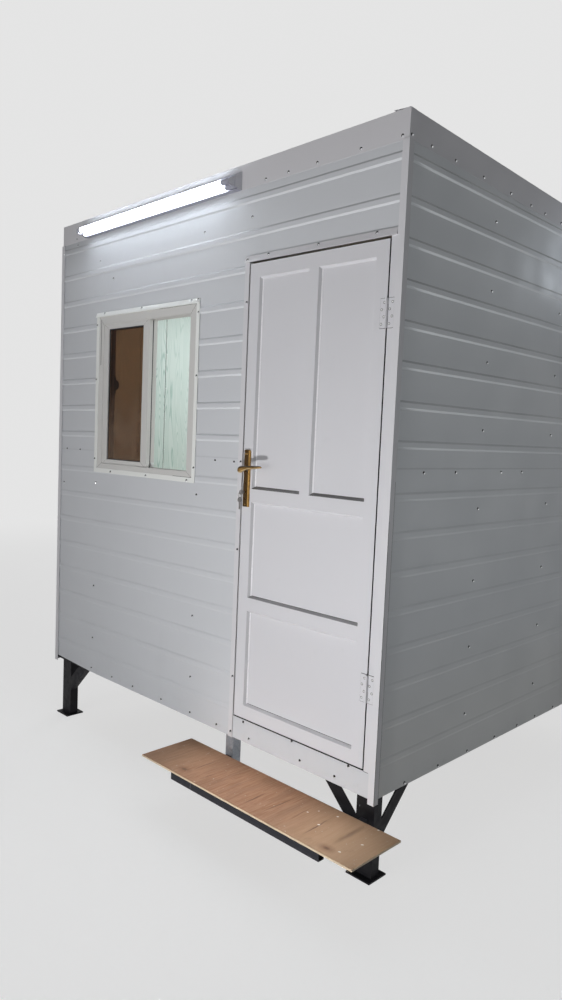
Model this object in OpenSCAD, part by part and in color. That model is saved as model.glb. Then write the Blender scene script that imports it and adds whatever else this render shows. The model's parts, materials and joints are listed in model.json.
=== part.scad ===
// Portable site cabin: ribbed steel cladding on a floor frame with four braced legs,
// a panelled door beside the front right corner, a sliding window, a lamp under the
// roof edge and a plywood step on a steel frame.
// Local places are taken from the front right corner of the cladding's lower edge:
// X runs to the right, Y towards the rear and Z up, so the cabin lies at negative X.

/* [Cabin] */
// Width of the front wall over its cladding
body_w = 2440; // [2300:10:2700]
// Depth of the side wall over its cladding
body_d = 2640; // [2400:10:3000]
// Fall of the roof towards the left wall, in millimetres per metre
fall_left = 17; // [0:1:25]
// Fall of the roof towards the rear wall, in millimetres per metre
fall_rear = 26; // [0:1:35]
// Height of the cladding's lower edge over the ground
ground_gap = 350; // [300:5:450]

/* [Floor] */
// Width of a floor beam
beam_w = 50; // [40:1:80]
// Height of a floor beam
beam_h = 90; // [70:1:110]
// Width of a floor joist
joist_w = 40; // [30:1:60]
// Distance from one joist to the next
joist_pitch = 655; // [500:5:800]
// Thickness of the floor board
deck_t = 15; // [12:1:25]

/* [Legs] */
// Width of a leg, along the front wall
leg_w = 90; // [70:1:110]
// Depth of a leg, along the side wall
leg_d = 50; // [40:1:70]
// Wall thickness of a leg's tube
leg_wall = 4; // [3:0.5:6]
// Distance from the side wall's face to a leg
leg_in_x = 19; // [10:1:40]
// Distance from the front or rear wall's face to a leg
leg_in_y = 38; // [25:1:60]
// Width of a foot plate
foot_w = 120; // [115:1:160]
// Depth of a foot plate
foot_d = 110; // [80:1:160]
// Thickness of a foot plate
foot_t = 7; // [5:1:12]
// Reach of a knee brace along the floor beam, from its leg
brace_reach = 194; // [120:5:260]
// Width of a knee brace's face
brace_w = 58; // [40:1:70]
// Thickness of a knee brace
brace_t = 6; // [4:1:10]
// Depth of a knee brace's inner flange
brace_flange = 38; // [25:1:45]

/* [Walls] */
// Thickness of the insulated wall core
core_t = 50; // [40:1:80]
// Thickness of the inner boards
lining_t = 8; // [6:1:12]
// Width of one inner board
board_w = 200; // [160:5:260]
// Width of the groove between two inner boards
groove_w = 4; // [2:0.5:6]
// Depth of the groove between two inner boards
groove_d = 3; // [2:0.5:4]
// Height of the room, from the floor to the ceiling
room_h = 2265; // [2200:5:2300]
// Thickness of the ceiling board
ceiling_t = 10; // [6:1:15]

/* [Cladding] */
// Thickness of the cladding sheet
sheet_t = 1; // [0.8:0.1:1.5]
// How far a rib of the upper sheet stands out
rib_h = 4; // [3:0.5:6]
// How far a rib of the lower sheet stands out
low_rib_h = 2; // [1:0.5:3]
// Width of a rib at its foot
rib_w = 35; // [28:1:42]
// Width of a rib at its crest
rib_top = 18; // [10:1:24]
// Distance from one rib to the next
rib_pitch = 150; // [140:1:160]
// Height of the lowest rib's centre
rib_first = 140; // [130:1:160]
// Ribs on one cladding sheet
ribs = 8; // [6:1:8]
// Distance across the seam between the two sheets, from rib to rib
seam_step = 201; // [180:1:220]
// Height of the lap where the upper sheet covers the lower one
lap_h = 28; // [15:1:40]
// Distance of the lap's middle below the middle of the seam
seam_drop = 8; // [0:1:15]
// Height that the front sheet's lower edge gains at its left end, where it was cut askew
askew_h = 15; // [1:1:25]
// Length of the askew cut
askew_len = 400; // [150:10:800]
// Drop of the front sheets' ribs to the left, in millimetres per metre
rib_fall = 12.5; // [0:0.5:16]
// Height that the front sheets' ribs gain at the right end
rib_raise = 6; // [0:1:10]

/* [Corner trims] */
// Thickness of a trim
trim_t = 2; // [1:0.5:3]
// Width of a corner trim's flange on the front or rear wall
trim_face = 30; // [24:1:34]
// Width of a corner trim's flange on the side wall
trim_side = 24; // [18:1:40]
// How far a corner trim hangs below the cladding
trim_drop = 18; // [5:1:30]

/* [Roof] */
// Space between the ceiling and the roof core at the lowest corner
roof_space = 55; // [40:5:120]
// Thickness of the insulated roof core
roof_core_t = 40; // [30:1:60]
// Height of a roof rib
roof_rib_h = 22; // [15:1:30]
// Distance from one roof rib to the next
roof_pitch = 240; // [180:5:300]
// Width of a roof rib at its foot
roof_rib_w = 70; // [50:1:90]
// Width of a roof rib at its crest
roof_rib_top = 36; // [20:1:45]
// Thickness of the roof sheet
roof_sheet_t = 1; // [0.8:0.1:1.5]
// Depth of the fascia
fascia_h = 110; // [90:1:130]
// Thickness of the fascia
fascia_t = 2; // [1:0.5:3]
// Width of the fascia's lip on the roof
fascia_lip = 32; // [25:1:45]
// Length of the side fascia's lap over the front fascia
corner_lap = 75; // [40:1:100]
// Length of the flat part of that lap
corner_flat = 12; // [8:1:25]
// How far the free end of the lap stands up
corner_lift = 6; // [2:0.5:10]

/* [Door] */
// Width of the door leaf
leaf_w = 755; // [700:5:800]
// Height of the door leaf
leaf_h = 2042; // [1950:2:2060]
// Gap over the leaf
top_gap = 9; // [6.5:0.5:12]
// Thickness of the door leaf
leaf_t = 40; // [35:1:45]
// Gap between the leaf and its frame
leaf_gap = 6.5; // [6.5:0.5:8]
// Width of the frame's post on the handle side
jamb_w = 24; // [20:1:40]
// Height of the frame's head
head_h = 23; // [20:1:40]
// How far the stop stands into the doorway, behind the leaf
stop_w = 12; // [10:1:14]
// Width of a door stile
stile_w = 60; // [50:1:80]
// Width of the bar between the two upper panels
mullion_w = 55; // [45:1:70]
// Height of a door rail
rail_w = 60; // [50:1:70]
// Height of the middle panel
mid_panel_h = 434; // [380:2:480]
// Height of the lowest panel
low_panel_h = 440; // [380:2:480]
// Thickness of a door panel
panel_t = 14; // [10:1:20]
// Width of the slope around a panel
bead_w = 9; // [5:1:12]
// How far the flashing beside and over the door laps over the cladding
flash_lap = 4; // [2:1:10]
// How far the lower edge of the flashing over the door stands out
drip_out = 7; // [3:1:10]

/* [Hinges] */
// Height of a hinge
hinge_h = 110; // [80:2:130]
// Width of one hinge plate
hinge_w = 25; // [22:1:34]
// Thickness of a hinge plate
hinge_t = 2.5; // [2:0.5:3]
// Radius of the hinge knuckle
knuckle_r = 6; // [5:0.5:6.5]
// Radius of the hinge pin
pin_r = 3; // [2.5:0.5:3.5]
// Height of the lower hinge's middle over the leaf's lower edge
hinge_low = 325; // [200:5:400]
// Height of the upper hinge's middle over the leaf's lower edge
hinge_high = 1768; // [1650:2:1850]

/* [Handle] */
// Width of the handle plate
plate_w = 40; // [30:1:48]
// Height of the handle plate
plate_h = 255; // [220:1:280]
// Thickness of the handle plate
plate_t = 10; // [6:1:12]
// Width of the rounded edge of a handle plate
plate_round = 9; // [5:1:12]
// Radius of a handle plate's upper corners
plate_corner = 10; // [6:1:14]
// Distance from the leaf's free edge to the plate's middle
plate_in = 29; // [26:1:32]
// Height of the plate's middle over the leaf's lower edge
plate_z = 1098; // [1000:2:1180]
// Height of the lever's spindle over the plate's middle
spindle_up = 36; // [20:1:60]
// Distance of the lock cylinder below the plate's middle
cylinder_down = 62; // [50:1:75]
// Length of the lever
lever_len = 135; // [110:1:150]
// How far the lever stands out of its plate
lever_out = 48; // [40:1:60]
// Radius of the lever's neck
neck_r = 9; // [7:0.5:10]
// Radius of the bulb at the end of the lever's neck
bulb_r = 12.5; // [11:0.5:14]
// Height of the lever's grip beside the bulb
grip_h = 20; // [16:1:22]
// Thickness of the lever's grip beside the bulb
grip_t = 13; // [10:1:14]
// Share of the grip's height and thickness that is left at its tip
grip_taper = 0.45; // [0.35:0.05:0.8]
// Height of the lever's tip over its spindle
grip_rise = 22; // [0:1:30]
// How far the grip curves back towards the door
grip_back = 9; // [0:1:15]
// Radius of the lock cylinder
cylinder_r = 8.5; // [7:0.5:10]
// How far the lock cylinder stands out of its plate
cylinder_out = 3; // [2:0.5:5]
// Radius of a key's bow
key_bow_r = 12; // [9:0.5:13]
// Length of the key that shows between the lock and its bow
key_neck = 9; // [6:1:14]
// Height of a key's blade
key_blade_h = 8; // [6:0.5:9]
// Length of the spare key's blade
spare_len = 31; // [24:1:36]
// Radius of the key ring
key_ring_r = 11; // [9:0.5:14]
// Radius of the key ring's wire
key_wire_r = 1; // [0.8:0.1:1.4]

/* [Window] */
// Width of the hole in the wall for the window
win_w = 860; // [760:5:900]
// Height of the hole in the wall for the window
win_h = 845; // [760:5:860]
// Distance from the side wall's face to the window's right side
win_in = 1175; // [1130:5:1250]
// Height of the window hole's lower edge over the cladding's lower edge
win_z = 1178; // [1150:2:1220]
// Depth of the window frame
frame_d = 60; // [56:1:64]
// Width of the window frame's sides
frame_side = 50; // [40:1:60]
// Height of the window frame's head
frame_head = 50; // [40:1:60]
// Height of the window frame's sill
frame_sill = 34; // [28:1:45]
// Thickness of a lip of the window frame
frame_lip = 4; // [3:0.5:5]
// Depth of the tracks in the window frame
track_d = 10; // [8:1:14]
// Clearance of a sash in its track
sash_play = 1; // [0.5:0.5:2]
// Width of one sash
sash_w = 428; // [400:2:450]
// Width of a sash stile
sash_stile = 52; // [40:1:60]
// Height of a sash rail
sash_rail = 34; // [28:1:50]
// Thickness of the window glass
glass_t = 5; // [4:1:8]
// Width of the trim around the window
win_trim_w = 24; // [18:1:30]
// How far the trim laps over the window frame
win_trim_lap = 6; // [4:1:10]
// How far the lower edge of the trim over the window stands out
win_drip = 8; // [3:1:12]

/* [Lamp] */
// Length of the lamp
lamp_len = 1273; // [1250:1:1400]
// Distance from the side wall's face to the lamp's right end
lamp_in = 897; // [850:1:950]
// Distance from the roof's top edge down to the lamp
lamp_down = 28; // [15:1:31]
// Height of the lamp at the wall
lamp_back = 79; // [70:1:82]
// Depth of the lamp's ends, out from the fascia
lamp_depth = 77; // [70:1:95]
// Height of the lamp's ends at their front
lamp_front = 24; // [20:1:34]
// How far the front of the lamp's ends is raised over their foot at the wall
lamp_rise = 9; // [4:1:14]
// Depth of the lamp's casing between its ends
lamp_case = 22; // [15:1:23]
// How far the lip under the lamp's tubes stands out
lamp_lip = 30; // [24:1:30]
// Thickness of the lip under the lamp's tubes
lamp_lip_t = 2; // [1:0.5:3]
// Thickness of an end of the lamp
lamp_end = 14; // [10:1:20]
// Depth of the part of an end that closes the casing; the tube holder is in front of it
lamp_fold = 42; // [30:1:50]
// How far the tube holder stands back from the end's outer face
holder_step = 3; // [1:0.5:5]
// Radius of a lamp tube
tube_r = 13; // [8:0.5:13]
// Length of the cap at a tube's right end
cap_right = 50; // [30:1:70]
// Length of the cap at a tube's left end
cap_left = 12; // [8:1:30]
// Distance of the front tube's middle from the fascia
front_tube_out = 62; // [60:1:66]
// Height of the front tube's middle over the lamp's foot
front_tube_up = 28; // [26:1:30]
// Distance of the rear tube's middle from the fascia
rear_tube_out = 37; // [36:0.5:38]
// Height of the rear tube's middle over the lamp's foot
rear_tube_up = 13; // [11:0.5:15]

/* [Step] */
// Length of the step board
step_len = 1255; // [1100:5:1400]
// Depth of the step board
step_d = 295; // [250:5:320]
// Thickness of the step board
step_t = 8; // [6:1:12]
// How far the step board runs out past the side wall
step_over = 140; // [60:5:180]
// Distance of the step board's top below the cladding's lower edge
step_down = 100; // [80:2:140]
// Clear space between the step board and the front wall
step_clear = 2; // [0:1:10]
// Height of the step frame's bars
bar_h = 40; // [30:1:50]
// Width of the step frame's bars
bar_w = 30; // [25:1:40]
// How far the board overhangs the front bar
bar_in = 12; // [5:1:25]
// Distance from the side wall's face to the front bar's right end
rail_in = 24; // [15:1:40]
// Length of the front bar
rail_len = 885; // [800:5:950]
// Wall thickness of the step's bars and post
bar_wall = 2.5; // [1.5:0.5:4]
// Width of the step's square post
post_w = 50; // [40:1:60]
// Distance from the side wall's face to the step's post
post_x = 837; // [700:1:850]
// Distance from the front wall's face to the step's post
post_in = 20; // [12:1:40]

/* [Hidden] */
$fn = 48;

// Small number that keeps a cut from ending on a face
eps = 1;
// Outer planes of the trims and fascias, from the cladding's flat face
trim_out = rib_h + trim_t;
fascia_out = fascia_t - sheet_t;
body_out = max(trim_out, fascia_out);
// Front edge of the step board
step_front = step_d + step_clear;
// Place of the front right corner, so that the origin is the middle of the whole footprint
corner_x = (body_w + body_out - max(step_over, body_out)) / 2;
corner_y = (step_front - body_d - body_out) / 2;
// Floor level over the cladding's lower edge
floor_z = beam_h + deck_t;
// Inner faces of the wall cores and of the lining
core_in = sheet_t + core_t;
lining_in = core_in + lining_t;
// Turn of the roof plane about X and Y
roof_b = -atan(fall_left / 1000);
roof_a = -atan(fall_rear / 1000 * cos(roof_b));
// Levels under the roof's top plane
sheet_under = fascia_t + roof_rib_h + roof_sheet_t;
core_under = sheet_under + roof_core_t;
// Height of the roof's top edge at the front right corner, its highest point
roof_fall = (body_w * fall_left + body_d * fall_rear) / 1000;
apex_h = floor_z + room_h + ceiling_t + roof_space + core_under + roof_fall;
// Heights of all ribs, and of the seam between the two sheets
upper_first = rib_first + (ribs - 1) * rib_pitch + seam_step;
upper_ribs = floor((apex_h - fascia_h - upper_first) / rib_pitch) + 1;
all_ribs = ribs + upper_ribs;
rib_z = [for (k = [0 : all_ribs - 1])
    k < ribs ? rib_first + k * rib_pitch : upper_first + (k - ribs) * rib_pitch];
seam_z = upper_first - seam_step / 2 - lap_h / 2 - seam_drop;
seam_slope = 6;
// Hinge: height of one knuckle, and the play between knuckles and on the pin
segment_h = hinge_h / 5;
knuckle_gap = 0.5;
pin_play = 0.08;
// Door: leaf, frame and opening. The hinge plates fit between the leaf and the corner trim
leaf_in = trim_face - trim_out + hinge_w + knuckle_r + knuckle_gap + leaf_gap / 2;
leaf_z = floor_z + leaf_gap;
leaf_r = -leaf_in;
leaf_l = leaf_r - leaf_w;
door_l = leaf_l - leaf_gap;
door_r = leaf_r + leaf_gap;
door_top = leaf_z + leaf_h + top_gap;
door_face = -rib_h;
stop_y = door_face + leaf_t + leaf_gap;
up_panel_h = leaf_h - 4 * rail_w - mid_panel_h - low_panel_h;
up_panel_w = (leaf_w - 2 * stile_w - mullion_w) / 2;
// Hinge axis
axis_x = leaf_r + leaf_gap / 2;
axis_y = door_face - knuckle_r;
// Handle places
plate_x = leaf_l + plate_in;
plate_mid = leaf_z + plate_z;
spindle_z = plate_mid + spindle_up;
cylinder_z = plate_mid - cylinder_down;
// The inner plate is narrower, so that it passes the door stop
stop_clear = 8;
inner_plate_w = 2 * (plate_in - stop_w + leaf_gap - stop_clear);
lever_play = 0.3;
// The key in the cylinder's outer end
key_t = 2.5;
// The ring's hole in a key's bow lies one hole's width inside the bow's edge
key_hole_r = 2.5;
key_hole_in = 5;
// The keys are held on the ring's wire by a small bite into it
wire_bite = 0.4;
// Window: hole, clear opening and sash planes
win_r = -win_in;
win_l = win_r - win_w;
clear_r = win_r - frame_side;
clear_l = win_l + frame_side;
clear_b = win_z + frame_sill;
clear_t = win_z + win_h - frame_head;
track_w = (frame_d - 3 * frame_lip) / 2;
frame_front = door_face;
front_track = frame_front + frame_lip;
rear_track = front_track + track_w + frame_lip;
sash_t = track_w - 2 * sash_play;
sash_b = clear_b - track_d;
sash_h = clear_t - clear_b + 2 * track_d - sash_play;
sash_l = clear_l - track_d + sash_play;
// Far beyond the cabin, for cutting blocks
far = 4000;

// Moves a shape from the front right corner into the shared frame
module at_corner() {
    translate([corner_x, corner_y, ground_gap]) children();
}

// Lays a shape in the roof's sloping plane, with its top face at zero
module on_roof() {
    translate([0, 0, apex_h]) rotate([roof_a, roof_b, 0]) children();
}

// Everything below the roof plane lowered by a depth
module under_roof(depth) {
    difference() {
        children();
        on_roof() translate([-far, -far / 2, -depth]) cube([1.5 * far, 2 * far, far]);
    }
}

// Mirror images for the left and rear sides of the cabin
module to_left() {
    translate([-body_w, 0, 0]) mirror([1, 0, 0]) children();
}
module to_rear() {
    translate([0, body_d, 0]) mirror([0, 1, 0]) children();
}

// Floor
module floor_beam_front() {
    color("dimgray") at_corner()
        translate([-body_w + sheet_t, sheet_t, 0]) cube([body_w - 2 * sheet_t, beam_w, beam_h]);
}
module floor_beam_rear() {
    color("dimgray") at_corner()
        translate([-body_w + sheet_t, body_d - sheet_t - beam_w, 0])
            cube([body_w - 2 * sheet_t, beam_w, beam_h]);
}
module side_beam() {
    translate([-sheet_t - beam_w, sheet_t + beam_w, 0])
        cube([beam_w, body_d - 2 * (sheet_t + beam_w), beam_h]);
}
module floor_beam_left() {
    color("dimgray") at_corner() to_left() side_beam();
}
module floor_beam_right() {
    color("dimgray") at_corner() side_beam();
}
module floor_joists() {
    span = body_w - 2 * (sheet_t + beam_w);
    count = floor((body_d - 2 * beam_w) / joist_pitch);
    start = body_d / 2 - (count - 1) * joist_pitch / 2;
    color("dimgray") at_corner()
        for (k = [0 : count - 1])
            translate([-body_w + sheet_t + beam_w, start + k * joist_pitch - joist_w / 2, 0])
                cube([span, joist_w, beam_h]);
}
module floor_deck() {
    color("burlywood") at_corner()
        translate([-body_w + sheet_t, sheet_t, beam_h])
            cube([body_w - 2 * sheet_t, body_d - 2 * sheet_t, deck_t]);
}

// Legs
// A knee brace in the plane of X and Z: its foot on the leg's face, its head under the beam
module knee_brace(drop) {
    reach = brace_reach;
    wide = brace_w * sqrt(2);
    face = [[0, -reach + wide], [reach - wide, 0], [reach, 0], [0, -reach]];
    inner = [[0, -reach + brace_t * sqrt(2)], [reach - brace_t * sqrt(2), 0], [reach, 0], [0, -reach]];
    translate([0, 0, drop]) rotate([90, 0, 0]) {
        translate([0, 0, -brace_t]) linear_extrude(brace_t) polygon(face);
        translate([0, 0, -brace_flange]) linear_extrude(brace_flange) polygon(inner);
    }
}
module leg() {
    low = -ground_gap + foot_t;
    translate([-leg_in_x - leg_w, leg_in_y, low]) {
        difference() {
            cube([leg_w, leg_d, -low]);
            translate([leg_wall, leg_wall, -eps])
                cube([leg_w - 2 * leg_wall, leg_d - 2 * leg_wall, -low + 2 * eps]);
        }
    }
    translate([-leg_in_x - leg_w / 2 - foot_w / 2, leg_in_y + leg_d / 2 - foot_d / 2, -ground_gap])
        cube([foot_w, foot_d, foot_t]);
    translate([-leg_in_x - leg_w, leg_in_y, 0]) mirror([1, 0, 0]) knee_brace(0);
    translate([-leg_in_x, leg_in_y + leg_d, 0]) rotate([0, 0, 90]) knee_brace(0);
}
module leg_front_right() {
    color("dimgray") at_corner() leg();
}
module leg_front_left() {
    color("dimgray") at_corner() to_left() leg();
}
module leg_rear_right() {
    color("dimgray") at_corner() to_rear() leg();
}
module leg_rear_left() {
    color("dimgray") at_corner() to_rear() to_left() leg();
}

// Walls
// The hole in the front wall for the window
module window_hole() {
    translate([win_l, -far / 2, win_z]) cube([win_w, far, win_h]);
}
module front_wall() {
    color("whitesmoke") at_corner() under_roof(core_under) difference() {
        translate([-body_w + sheet_t, sheet_t, floor_z])
            cube([body_w - sheet_t + door_l - jamb_w, core_t, apex_h]);
        window_hole();
    }
}
module front_wall_head() {
    low = door_top + head_h;
    color("whitesmoke") at_corner() under_roof(core_under)
        translate([door_l - jamb_w, sheet_t, low]) cube([-door_l + jamb_w - sheet_t, core_t, apex_h]);
}
module rear_wall() {
    color("whitesmoke") at_corner() under_roof(core_under)
        translate([-body_w + sheet_t, body_d - core_in, floor_z])
            cube([body_w - 2 * sheet_t, core_t, apex_h]);
}
module right_wall() {
    color("whitesmoke") at_corner() under_roof(core_under)
        translate([-core_in, core_in, floor_z]) cube([core_t, body_d - 2 * core_in, apex_h]);
}
module left_wall() {
    color("whitesmoke") at_corner() under_roof(core_under)
        translate([-body_w + sheet_t, core_in, floor_z]) cube([core_t, body_d - 2 * core_in, apex_h]);
}

// Cladding
// Section of the ribbed sheets: X outwards, Y up
function rib_points(z, out) = [[0, z - rib_w / 2], [out, z - rib_top / 2],
    [out, z + rib_top / 2], [0, z + rib_w / 2]];
function rib_out(k) = k < ribs ? low_rib_h : rib_h;
function rib_run(first, last) = [for (k = [first : last], p = rib_points(rib_z[k], rib_out(k))) p];
seam_points = [[0, seam_z], [sheet_t, seam_z], [sheet_t, seam_z + lap_h],
    [0, seam_z + lap_h + seam_slope]];
module sheet_section(low = 0) {
    top = apex_h - low;
    outer = concat([[0, low]], rib_run(0, ribs - 1), seam_points, rib_run(ribs, all_ribs - 1),
        [[0, top]]);
    inner = concat([[0, low]], rib_run(0, all_ribs - 1), [[0, top]]);
    count = len(inner);
    polygon(concat(outer, [for (k = [count - 1 : -1 : 0]) inner[k] - [sheet_t, 0]]));
}
// A sheet across the front wall, with its face on the plane Y = 0
module front_sheet(low = 0) {
    rotate([90, 0, -90]) linear_extrude(body_w) sheet_section(low);
}
// The front wall's sheets hang a little out of level
module hung_sheet() {
    fall = rib_fall / 1000;
    intersection() {
        multmatrix([[1, 0, 0, 0], [0, 1, 0, 0], [fall, 0, 1, rib_raise], [0, 0, 0, 1]])
            front_sheet(-rib_raise - fall * body_w);
        translate([-body_w, -far / 2, 0]) cube([body_w, far, far]);
    }
}
// A sheet along the right wall, with its face on the plane X = 0
module side_sheet() {
    translate([0, body_d - sheet_t, 0]) rotate([90, 0, 0])
        linear_extrude(body_d - 2 * sheet_t) sheet_section();
}
// The wedge that the askew cut takes off the front sheet's lower edge
module askew_cut() {
    translate([-body_w, far / 2, 0]) rotate([90, 0, 0]) linear_extrude(far)
        polygon([[-eps, -eps], [askew_len, -eps], [askew_len, 0], [0, askew_h], [-eps, askew_h]]);
}
module front_cladding() {
    color("white") at_corner() under_roof(fascia_h) difference() {
        hung_sheet();
        window_hole();
        askew_cut();
        translate([door_l - jamb_w, -far / 2, -eps]) cube([far, far, door_top + head_h + eps]);
    }
}
module rear_cladding() {
    color("white") at_corner() under_roof(fascia_h) to_rear() front_sheet();
}
module right_cladding() {
    color("white") at_corner() under_roof(fascia_h) side_sheet();
}
module left_cladding() {
    color("white") at_corner() under_roof(fascia_h) to_left() side_sheet();
}

// Lining
// Grooved boards that cover a stretch along X, with their face towards positive Y
module boards(length) {
    count = floor(length / board_w);
    start = (length - count * board_w) / 2;
    difference() {
        cube([length, lining_t, room_h]);
        for (k = [0 : count])
            translate([start + k * board_w - groove_w / 2, lining_t - groove_d, -eps])
                cube([groove_w, groove_d + eps, room_h + 2 * eps]);
    }
}
module front_lining() {
    length = body_w - 2 * lining_in;
    color("honeydew") at_corner() difference() {
        translate([-body_w + lining_in, core_in, floor_z]) boards(length);
        window_hole();
        translate([door_l - jamb_w, -far / 2, -eps]) cube([far, far, door_top + head_h + eps]);
    }
}
module rear_lining() {
    length = body_w - 2 * lining_in;
    color("honeydew") at_corner()
        translate([-lining_in, body_d - core_in, floor_z]) rotate([0, 0, 180]) boards(length);
}
module side_boards() {
    translate([-core_in, core_in, floor_z]) rotate([0, 0, 90]) boards(body_d - 2 * core_in);
}
module right_lining() {
    color("honeydew") at_corner() side_boards();
}
module left_lining() {
    length = body_d - 2 * core_in;
    color("honeydew") at_corner()
        translate([-body_w + core_in, body_d - core_in, floor_z]) rotate([0, 0, -90]) boards(length);
}
module ceiling() {
    color("honeydew") at_corner()
        translate([-body_w + core_in, core_in, floor_z + room_h])
            cube([body_w - 2 * core_in, body_d - 2 * core_in, ceiling_t]);
}

// Roof
// Cuts a roof layer to the cabin's plan, grown by a margin
module to_plan(margin) {
    intersection() {
        children();
        translate([-body_w - margin, -margin, 0])
            cube([body_w + 2 * margin, body_d + 2 * margin, far]);
    }
}
module roof_core() {
    color("gainsboro") at_corner() to_plan(-sheet_t) on_roof()
        translate([-far, -far / 2, -core_under]) cube([1.5 * far, 2 * far, roof_core_t]);
}
// Section of the roof sheet across the cabin, with the crests at zero
module roof_section() {
    count = ceil(body_w / roof_pitch) + 1;
    top = [for (k = [0 : count], p = [[-roof_rib_w / 2, -roof_rib_h], [-roof_rib_top / 2, 0],
        [roof_rib_top / 2, 0], [roof_rib_w / 2, -roof_rib_h]])
        [-count * roof_pitch + k * roof_pitch + p[0], p[1]]];
    last = len(top) - 1;
    polygon(concat(top, [for (k = [last : -1 : 0]) top[k] - [0, roof_sheet_t]]));
}
module roof_sheet() {
    color("lightgray") at_corner() to_plan(-sheet_t) on_roof()
        translate([-roof_rib_top / 2, far, -fascia_t]) rotate([90, 0, 0])
            linear_extrude(2 * far) roof_section();
}
// The band between the roof's top plane and the fascia's lower edge
module fascia_band() {
    intersection() {
        children();
        on_roof() translate([-far, -far / 2, -fascia_h]) cube([1.5 * far, 2 * far, fascia_h]);
    }
}
// The lip's thickness under the roof's top plane
module lip_band() {
    intersection() {
        children();
        on_roof() translate([-far, -far / 2, -fascia_t]) cube([1.5 * far, 2 * far, fascia_t]);
    }
}
// A fascia along X with its outer face at y, and one along Y with its outer face at x.
// Its lip runs inwards: inward is 1 where that is the positive way
module fascia_across(y, inward) {
    fascia_band() translate([-body_w - fascia_out, inward > 0 ? y : y - fascia_t, 0])
        cube([body_w + 2 * fascia_out, fascia_t, far]);
    lip_band() translate([-body_w + sheet_t, inward > 0 ? y : y - fascia_t - fascia_lip, 0])
        cube([body_w - 2 * sheet_t, fascia_t + fascia_lip, far]);
}
module fascia_along(x, inward) {
    inner = sheet_t + fascia_lip;
    fascia_band() translate([inward > 0 ? x : x - fascia_t, sheet_t, 0])
        cube([fascia_t, body_d - 2 * sheet_t, far]);
    lip_band() translate([inward > 0 ? x : x - fascia_t - fascia_lip, inner, 0])
        cube([fascia_t + fascia_lip, body_d - 2 * inner, far]);
}
// The end of the side fascia's lip that laps over the front fascia, with its free end raised
module raised_lap() {
    section = [[fascia_out, 0], [-corner_flat, 0], [-corner_lap, corner_lift],
        [-corner_lap, corner_lift + sheet_t], [-corner_flat, sheet_t], [fascia_out, sheet_t]];
    on_roof() translate([0, sheet_t + fascia_lip, 0]) rotate([90, 0, 0])
        linear_extrude(fascia_lip + fascia_t) polygon(section);
}
module fascia_front() {
    color("white") at_corner() fascia_across(-fascia_out, 1);
}
module fascia_rear() {
    color("white") at_corner() fascia_across(body_d + fascia_out, -1);
}
module fascia_right() {
    color("white") at_corner() {
        fascia_along(fascia_out, -1);
        raised_lap();
    }
}
module fascia_left() {
    color("white") at_corner() fascia_along(-body_w - fascia_out, 1);
}
// An angle over the front right corner of the cladding
module corner_trim() {
    low = -trim_drop;
    translate([trim_out - trim_face, -trim_out, low]) cube([trim_face, trim_t, far]);
    translate([rib_h, -trim_out, low]) cube([trim_t, trim_out + trim_side, far]);
}
module corner_trims() {
    color("white") at_corner() under_roof(fascia_h) {
        corner_trim();
        to_left() corner_trim();
        to_rear() corner_trim();
        to_rear() to_left() corner_trim();
    }
}

// Door
module door_frame() {
    depth = core_in - door_face;
    back = core_in - stop_y;
    color("white") at_corner() {
        translate([door_l - jamb_w, door_face, floor_z]) cube([jamb_w, depth, door_top - floor_z]);
        translate([door_l - jamb_w, door_face, door_top])
            cube([-door_l + jamb_w - sheet_t, depth, head_h]);
        translate([door_r, door_face, floor_z])
            cube([-door_r - sheet_t, depth, door_top - floor_z]);
        translate([door_l - eps, stop_y, floor_z]) cube([stop_w + eps, back, door_top - floor_z]);
        translate([door_r - stop_w, stop_y, floor_z])
            cube([stop_w + eps, back, door_top - floor_z]);
        translate([door_l, stop_y, door_top - stop_w]) cube([door_r - door_l, back, stop_w + eps]);
    }
}
// A flat sheet that covers the floor beam under the door
module door_sill() {
    left = door_l - jamb_w;
    color("white") at_corner() translate([left, 0, 0]) cube([-left, sheet_t, floor_z]);
}
// Section of a strip whose lower edge stands out to throw off the rain: X towards the rear, Y up
function drip_section(h, out) = [[-rib_h, 0], [-rib_h, h], [-trim_out, h], [-trim_out - out, trim_t],
    [-trim_out - out, 0]];
// Strips that cover the cladding's cut edges beside and over the door frame
module door_flashing() {
    left = door_l - jamb_w - flash_lap;
    right = trim_out - trim_face;
    color("white") at_corner() {
        translate([left, -trim_out, 0]) cube([door_l - left, trim_t, door_top + head_h]);
        translate([left, 0, door_top]) rotate([90, 0, 90]) linear_extrude(right - left)
            polygon(drip_section(head_h + flash_lap, drip_out));
    }
}
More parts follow.
